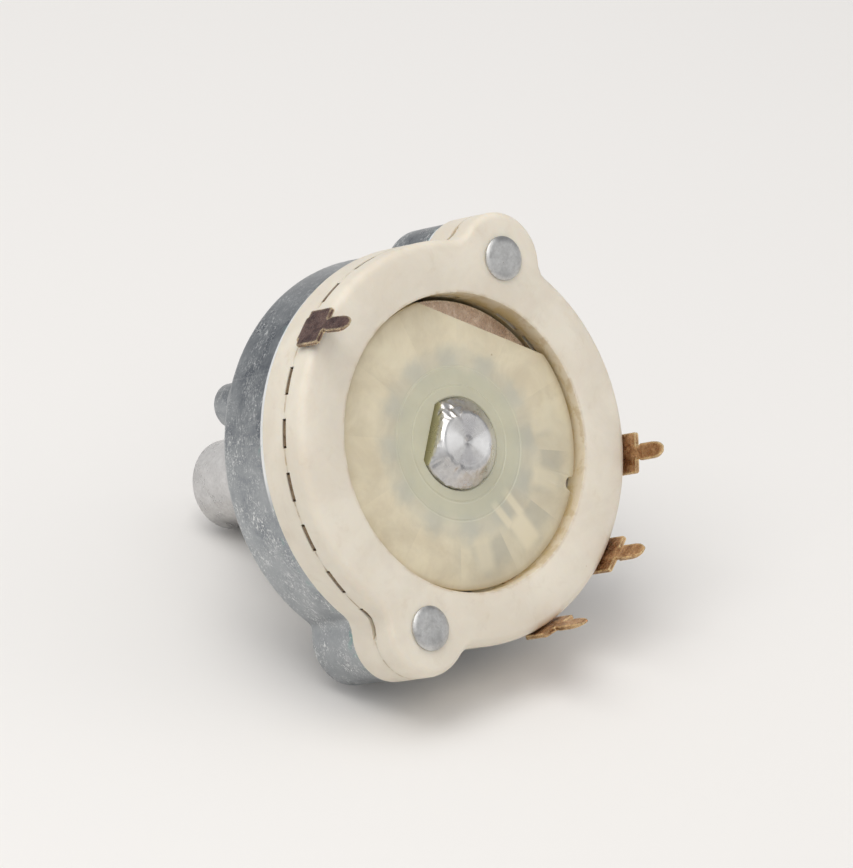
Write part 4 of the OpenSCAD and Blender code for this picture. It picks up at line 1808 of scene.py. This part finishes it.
@dataclass
class Rotor:
    """Milky nylon rotor: web with a chord and a nick, stepped hub and bars behind the web."""

    disc_r: float = 9.5
    chord: float = 7.9
    web: float = 0.6
    hub_r: float = 5.0
    hub_front: float = -5.0
    hole_r: float = 3.02
    hole_flat: float = 2.37
    ribs: int = 12
    rib_w: float = 1.2
    rib_r: float = 8.4

    def build(self, fin: Finishes) -> None:
        """Builds the disc and its bars.

        Args:
            fin: the finishes of the switch.
        """
        angles = even_angles(720)
        edge = Chorded(self.disc_r, self.chord, math.radians(88), 0.5)
        hole = Tail(self.hole_r, self.hole_flat)
        face = PLAN.rotor_z
        front = face + self.web
        rings = [hole.ring(angles, face + 0.1), hole.ring(angles, face, -0.1)]
        steps = ((3.70, 0.0), (3.74, 0.03), (3.84, 0.03), (3.88, 0.0), (4.92, 0.0), (4.96, 0.025),
                 (5.06, 0.025), (5.10, 0.0), (6.5, 0.0))
        rings += [Round(r).ring(angles, face + z) for r, z in steps]
        rings += [edge.ring(angles, face, 0.12), edge.ring(angles, face + 0.035, 0.035),
                  edge.ring(angles, face + 0.12), edge.ring(angles, front - 0.05),
                  edge.ring(angles, front, 0.05)]
        rings += [Round(r).ring(angles, z) for r, z in (
            (self.hub_r, front), (self.hub_r, self.hub_front - 0.1), (self.hub_r - 0.1, self.hub_front))]
        rings += [hole.ring(angles, self.hub_front)]
        disc = Solid("rotor_disc_moulded")
        disc.loft(rings, loop=True)
        made = disc.finish(fin.nylon, "rotor", "natural_nylon", ["rotor_disc"])
        made.visible_shadow = False
        bars = place("rotor_bars", self.bars(fin), fin.nylon_inside, "rotor")
        bars.visible_shadow = False

    def bars(self, fin: Finishes) -> bpy.types.Mesh:
        """Makes the bars that stand behind the web, turned round the hub.

        Args:
            fin: the finishes of the switch.

        Returns:
            The bars that stand behind the web, turned round the hub.
        """
        deep, root, clear = 0.56, self.hub_r - 0.2, 0.05
        length = self.rib_r - root
        row = BlockRow(self.ribs, root, length, self.rib_w, deep,
                       PLAN.rotor_z + self.web + deep / 2 - 0.01,
                       trim=1 - (self.chord - clear - root) / length)
        return softened(row.mesh("rotor_bars", fin.nylon_inside), 0.08)


@dataclass
class Blade:
    """Thin brass blade behind the rotor's web: a ring, a wide sector and a nose."""

    ring_r: float = 6.4
    sector_r: float = 9.45
    sector_from: float = 175.0
    sector_to: float = 395.0
    nose_turn: float = 105.0
    nose_w: float = 1.6
    bore_r: float = 5.02

    def radius(self, angle: float) -> float:
        """Works out the blade's outer radius at an angle in radians.

        Args:
            angle: the angle, in radians.

        Returns:
            The blade's outer radius at an angle in radians.
        """
        turn = math.degrees(angle) % 360
        inside = (turn - self.sector_from) % 360 <= self.sector_to - self.sector_from
        off = abs((turn - self.nose_turn + 180) % 360 - 180)
        half = math.degrees(math.asin(self.nose_w / 2 / self.sector_r))
        return self.sector_r if inside or off <= half else self.ring_r

    def build(self, fin: Finishes) -> None:
        """Builds the blade as a plate with softened edges.

        Args:
            fin: the finishes of the switch.
        """
        lo, hi = low("rotor_blade").z, high("rotor_blade").z
        angles: list[float] = []
        for a in even_angles(720):
            here, nxt = self.radius(a), self.radius(a + math.radians(0.5))
            angles.append(a)
            if here != nxt:
                angles += [a + math.radians(0.249), a + math.radians(0.251)]
        radii = [self.radius(round(math.degrees(a) * 2) / 2 * math.pi / 180) for a in angles]
        edge = 0.04

        def ring(z: float, inset: float) -> Ring:
            """Returns the outer edge at one height."""
            return [((r - inset) * math.cos(a), (r - inset) * math.sin(a), z) for r, a in zip(radii, angles)]

        bore = Round(self.bore_r)
        blade = Solid("rotor_blade_stamped")
        blade.loft([ring(lo, edge), ring(lo + edge, 0.0), ring(hi - edge, 0.0), ring(hi, edge),
                    Round(6.0).ring(angles, hi), bore.ring(angles, hi), bore.ring(angles, lo),
                    Round(6.0).ring(angles, lo)], loop=True)
        made = blade.finish(fin.blade, "rotor", "blade_brass", ["rotor_blade"])
        made.visible_shadow = False


@dataclass
class Shaft:
    """Turned control shaft with a groove for the clip and a flatted tail with a rough end."""

    r: float = 3.0
    groove_r: float = 2.6
    groove_from: float = 8.175
    groove_to: float = 8.825
    flat: float = 2.1
    tail_top: float = -0.85
    chamfer: float = 0.95
    tip_r: float = 1.9

    def build(self, fin: Finishes) -> None:
        """Builds the shaft as a plain front and a flatted tail.

        Args:
            fin: the finishes of the switch.
        """
        tip, r = PLAN.tip, self.r
        shaft = Solid("control_shaft")
        shaft.lathe([(0.0, self.tail_top), (r, self.tail_top), (r, self.groove_from - 0.04),
                     (r - 0.04, self.groove_from), (self.groove_r, self.groove_from),
                     (self.groove_r, self.groove_to), (r - 0.04, self.groove_to),
                     (r, self.groove_to + 0.04), (r, tip - 0.53), (r - 0.03, tip - 0.47),
                     (r - 0.47, tip - 0.03), (r - 0.53, tip), (0.5, tip), (0.32, tip - 0.08),
                     (0.0, tip - 0.2)], steps=128)
        start = len(shaft.points)
        low_z = low("shaft").z
        rows = [(r, self.tail_top + 0.05), (r, -3.0), (r, -5.0), (r, -7.0), (r, -8.2)]
        rows += [(r, z) for z in (-8.5, -8.75, low_z + self.chamfer + 0.05)]
        rows += [(r - 0.04, low_z + self.chamfer - 0.05)]
        rows += [(r + (self.tip_r - r) * t, low_z + self.chamfer * (1 - t))
                 for t in (0.2, 0.4, 0.6, 0.8, 0.95)]
        rows += [(self.tip_r - 0.05, low_z)]
        rows += [(q, low_z) for q in (1.6, 1.3, 1.0, 0.7, 0.45)]
        rows += [(0.28, low_z + 0.03), (0.12, low_z + 0.1), (0.03, low_z + 0.13)]
        angles = even_angles(144)
        shaft.loft([Tail(q, self.flat).ring(angles, z) for q, z in rows])
        shaft.move(start, self.burr)
        shaft.finish(fin.shaft, "rotor", "shaft_metal", ["shaft"], 38.0)

    def burr(self, point: Point) -> Point:
        """Roughens the tail's end near its flat, and leaves the rest as turned.

        Args:
            point: the place, in mm.

        Returns:
            The place after that.
        """
        x, y, z = point
        near = smoothstep((-8.7 - z) / 0.5)
        corner = smoothstep((x - 0.4) / 1.2) * smoothstep((-y - 0.3) / 1.0)
        chips = smoothstep((-x - 1.0) / 1.0)
        rough = near * (0.16 * corner + 0.08 * chips + 0.015)
        n = grain_at(point, 0.45, 4.0)
        k = 1 - rough * abs(n)
        return x * k, y * k, z + rough * (0.6 * n + 0.5 * abs(grain_at(point, 0.25, 9.0)))


@dataclass
class IndexParts:
    """The parts inside the cup and on the shaft that keep their frame shapes."""

    plain: tuple[tuple[str, str, str, float], ...] = (
        ("detent_carrier", "black", "black_moulding", 0.12),
        ("stop_plate", "steel", "index_steel", 0.05),
        ("thrust_washer", "steel", "index_steel", 0.05),
        ("index_wheel", "steel", "index_steel", 0.06),
        ("stop_arm", "steel", "index_steel", 0.05),
        ("retaining_clip", "wire", "spring_wire", 0.07),
        ("spacer_sleeve", "nylon_inside", "natural_nylon", 0.08),
        ("detent_ball_a", "ball", "ball_steel", 0.0),
        ("detent_ball_b", "ball", "ball_steel", 0.0),
    )
    springs: tuple[tuple[str, float], ...] = (("detent_spring_a", 30.0), ("detent_spring_b", 210.0))
    coil_r: float = 0.92
    wire_r: float = 0.13
    coil_from: float = 9.28
    coil_to: float = 11.12
    coil_z: float = -2.2

    def build(self, fin: Finishes) -> None:
        """Dresses the kept parts and winds the springs.

        Args:
            fin: the finishes of the switch.
        """
        for node, finish, slot, edge in self.plain:
            dress_node(node, getattr(fin, finish), edge)
        for node, angle in self.springs:
            mesh = self.coil(fin, math.radians(angle))
            place(f"{node}_wound", mesh, fin.wire, "housing", [node], 80.0)

    def coil(self, fin: Finishes, angle: float) -> bpy.types.Mesh:
        """Makes one coil spring lying along an angle.

        Args:
            fin: the finishes of the switch.
            angle: the angle, in radians.

        Returns:
            One coil spring lying along an angle.
        """
        recipe = Recipe("detent_coil", fin.wire)
        size = recipe.sizes(Radius=self.coil_r, Turns=4.5, Length=self.coil_to - self.coil_from,
                            Wire=self.wire_r, Steps=28, Sides=12)
        graph = recipe.graph
        helix = graph.put("GeometryNodeCurveSpiral", {
            "Resolution": size["Steps"], "Rotations": size["Turns"], "Start Radius": size["Radius"],
            "End Radius": size["Radius"], "Height": size["Length"]}).outputs[0]
        wire = graph.put("GeometryNodeCurvePrimitiveCircle", {
            "Resolution": size["Sides"], "Radius": size["Wire"]}).outputs[0]
        swept = graph.put("GeometryNodeCurveToMesh", {
            "Curve": helix, "Profile Curve": wire, "Fill Caps": True}).outputs[0]
        x, y = turned_point(self.coil_from, 0.0, angle)
        laid = graph.put("GeometryNodeTransform", {
            "Geometry": swept, "Translation": (x, y, self.coil_z),
            "Rotation": (0.0, math.pi / 2, angle)}).outputs[0]
        recipe.end(laid)
        return outward(recipe.mesh(), merge=True)


# ------------------------------------------------------------------ the studio


@dataclass
class Studio:
    """Pale sheet under the leaning switch, soft lamps, and the camera."""

    eye: Point = (-135.93, -276.40, -403.57)
    ahead: Point = (0.2719, 0.5485, 0.7907)
    top: Point = (0.9439, -0.3120, -0.1082)
    lens: float = 322.4
    sensor: float = 36.0
    up: Point = (0.69, -0.522, -0.5)
    floor_drop: float = 10.9
    floor_half: float = 900.0

    def build(self) -> None:
        """Builds the floor, the lamps, the surroundings and the camera."""
        self.floor()
        self.camera()
        self.world()
        up, ahead = Vector(self.up).normalized(), Vector(self.ahead)
        side = ahead.cross(Vector(self.top)).normalized()
        self.lamp("overhead", up * 300 - ahead * 40 - side * 85, 260.0, 0.57)
        self.lamp("front", -ahead * 330 + up * 170 + side * 60, 200.0, 0.19)
        self.lamp("low_side", Vector((0.27, 0.55, -0.79)) * 330 + up * 40, 180.0, 0.06)

    def floor(self) -> None:
        """Lays the pale sheet under the points that the switch rests on."""
        up = Vector(self.up).normalized()
        middle = -up * self.floor_drop
        side = up.orthogonal().normalized()
        ahead = up.cross(side)
        corners = [(middle + (side * a + ahead * b) * self.floor_half) * MM
                   for a, b in ((-1, -1), (1, -1), (1, 1), (-1, 1))]
        mesh = bpy.data.meshes.new("paper_floor")
        mesh.from_pydata(corners, [], [(0, 1, 2, 3)])
        if mesh.polygons[0].normal.dot(up) < 0:
            mesh.flip_normals()
        mesh.materials.append(PaleFloor("pale_paper").build())
        floor = bpy.data.objects.new("paper_floor", mesh)
        bpy.context.scene.collection.objects.link(floor)

    def lamp(self, name: str, at: Vector, size: float, power: float) -> None:
        """Hangs a square soft lamp that faces the switch.

        Args:
            name: its name.
            at: its place in mm.
            size: its side in mm.
            power: its power in watts.
        """
        data = bpy.data.lights.new(name, "AREA")
        data.shape = "SQUARE"
        data.size = size * MM
        data.energy = power
        data.color = (1.0, 0.985, 0.965)
        lamp = bpy.data.objects.new(name, data)
        lamp.matrix_world = self.facing(at, -at, Vector(self.top))
        bpy.context.scene.collection.objects.link(lamp)

    @staticmethod
    def facing(at: Vector, ahead: Vector, top: Vector) -> Matrix:
        """Returns the placement in metres of something that looks ahead.

        Args:
            at: its place in mm.
            ahead: where it looks.
            top: roughly its upward direction.

        Returns:
            The placement.
        """
        back = -ahead.normalized()
        right = top.cross(back).normalized()
        up = back.cross(right)
        turn = Matrix((right, up, back)).transposed().to_4x4()
        return Matrix.Translation(at * MM) @ turn

    def camera(self) -> None:
        """Places the camera."""
        data = bpy.data.cameras.new("camera")
        data.lens = self.lens
        data.sensor_width = self.sensor
        data.clip_start = 0.01
        data.clip_end = 20.0
        camera = bpy.data.objects.new("camera", data)
        camera.matrix_world = self.facing(Vector(self.eye), Vector(self.ahead), Vector(self.top))
        bpy.context.scene.collection.objects.link(camera)
        bpy.context.scene.camera = camera

    def world(self) -> None:
        """Sets a pale surround that mirrors see a little darker."""
        world = bpy.data.worlds.new("studio")
        world.use_nodes = True
        graph = Graph(world.node_tree)
        ray = graph.put("ShaderNodeLightPath").outputs
        seen = graph.put("ShaderNodeBackground", {0: (0.93, 0.915, 0.89), 1: 0.95}).outputs[0]
        mirror = graph.put("ShaderNodeBackground", {0: (0.93, 0.94, 0.96), 1: 0.46}).outputs[0]
        fill = world.node_tree.nodes["Background"]
        graph.feed(fill.inputs[0], (0.97, 0.975, 1.0))
        graph.feed(fill.inputs[1], 0.60)
        first = graph.put("ShaderNodeMixShader", {
            0: ray["Is Glossy Ray"], 1: fill.outputs[0], 2: mirror}).outputs[0]
        both = graph.put("ShaderNodeMixShader", {0: ray["Is Camera Ray"], 1: first, 2: seen}).outputs[0]
        graph.feed(world.node_tree.nodes["World Output"].inputs[0], both)
        bpy.context.scene.world = world


# ------------------------------------------------------------------ all of it


def main() -> None:
    """Builds the switch and its studio."""
    logging.basicConfig(level=logging.INFO, format="%(name)s %(message)s")
    bpy.context.scene.view_settings.view_transform = "Standard"
    fin = Finishes.make()
    Cup().build(fin)
    Bushing().build(fin)
    for half in Half:
        StatorHalf(half).build(fin)
    SlotStubs().build(fin)
    Contact("common_contact", math.radians(-75), dark=True, splay=-0.06).build(fin)
    for number, angle in enumerate((75, 105, 135), 1):
        Contact(f"throw_contact_{number}", math.radians(angle)).build(fin)
    Rivet("rivet_upper", 1).build(fin)
    Rivet("rivet_lower", -1).build(fin)
    Rotor().build(fin)
    Blade().build(fin)
    Shaft().build(fin)
    IndexParts().build(fin)
    Studio().build()


if __name__ == "__main__":
    main()
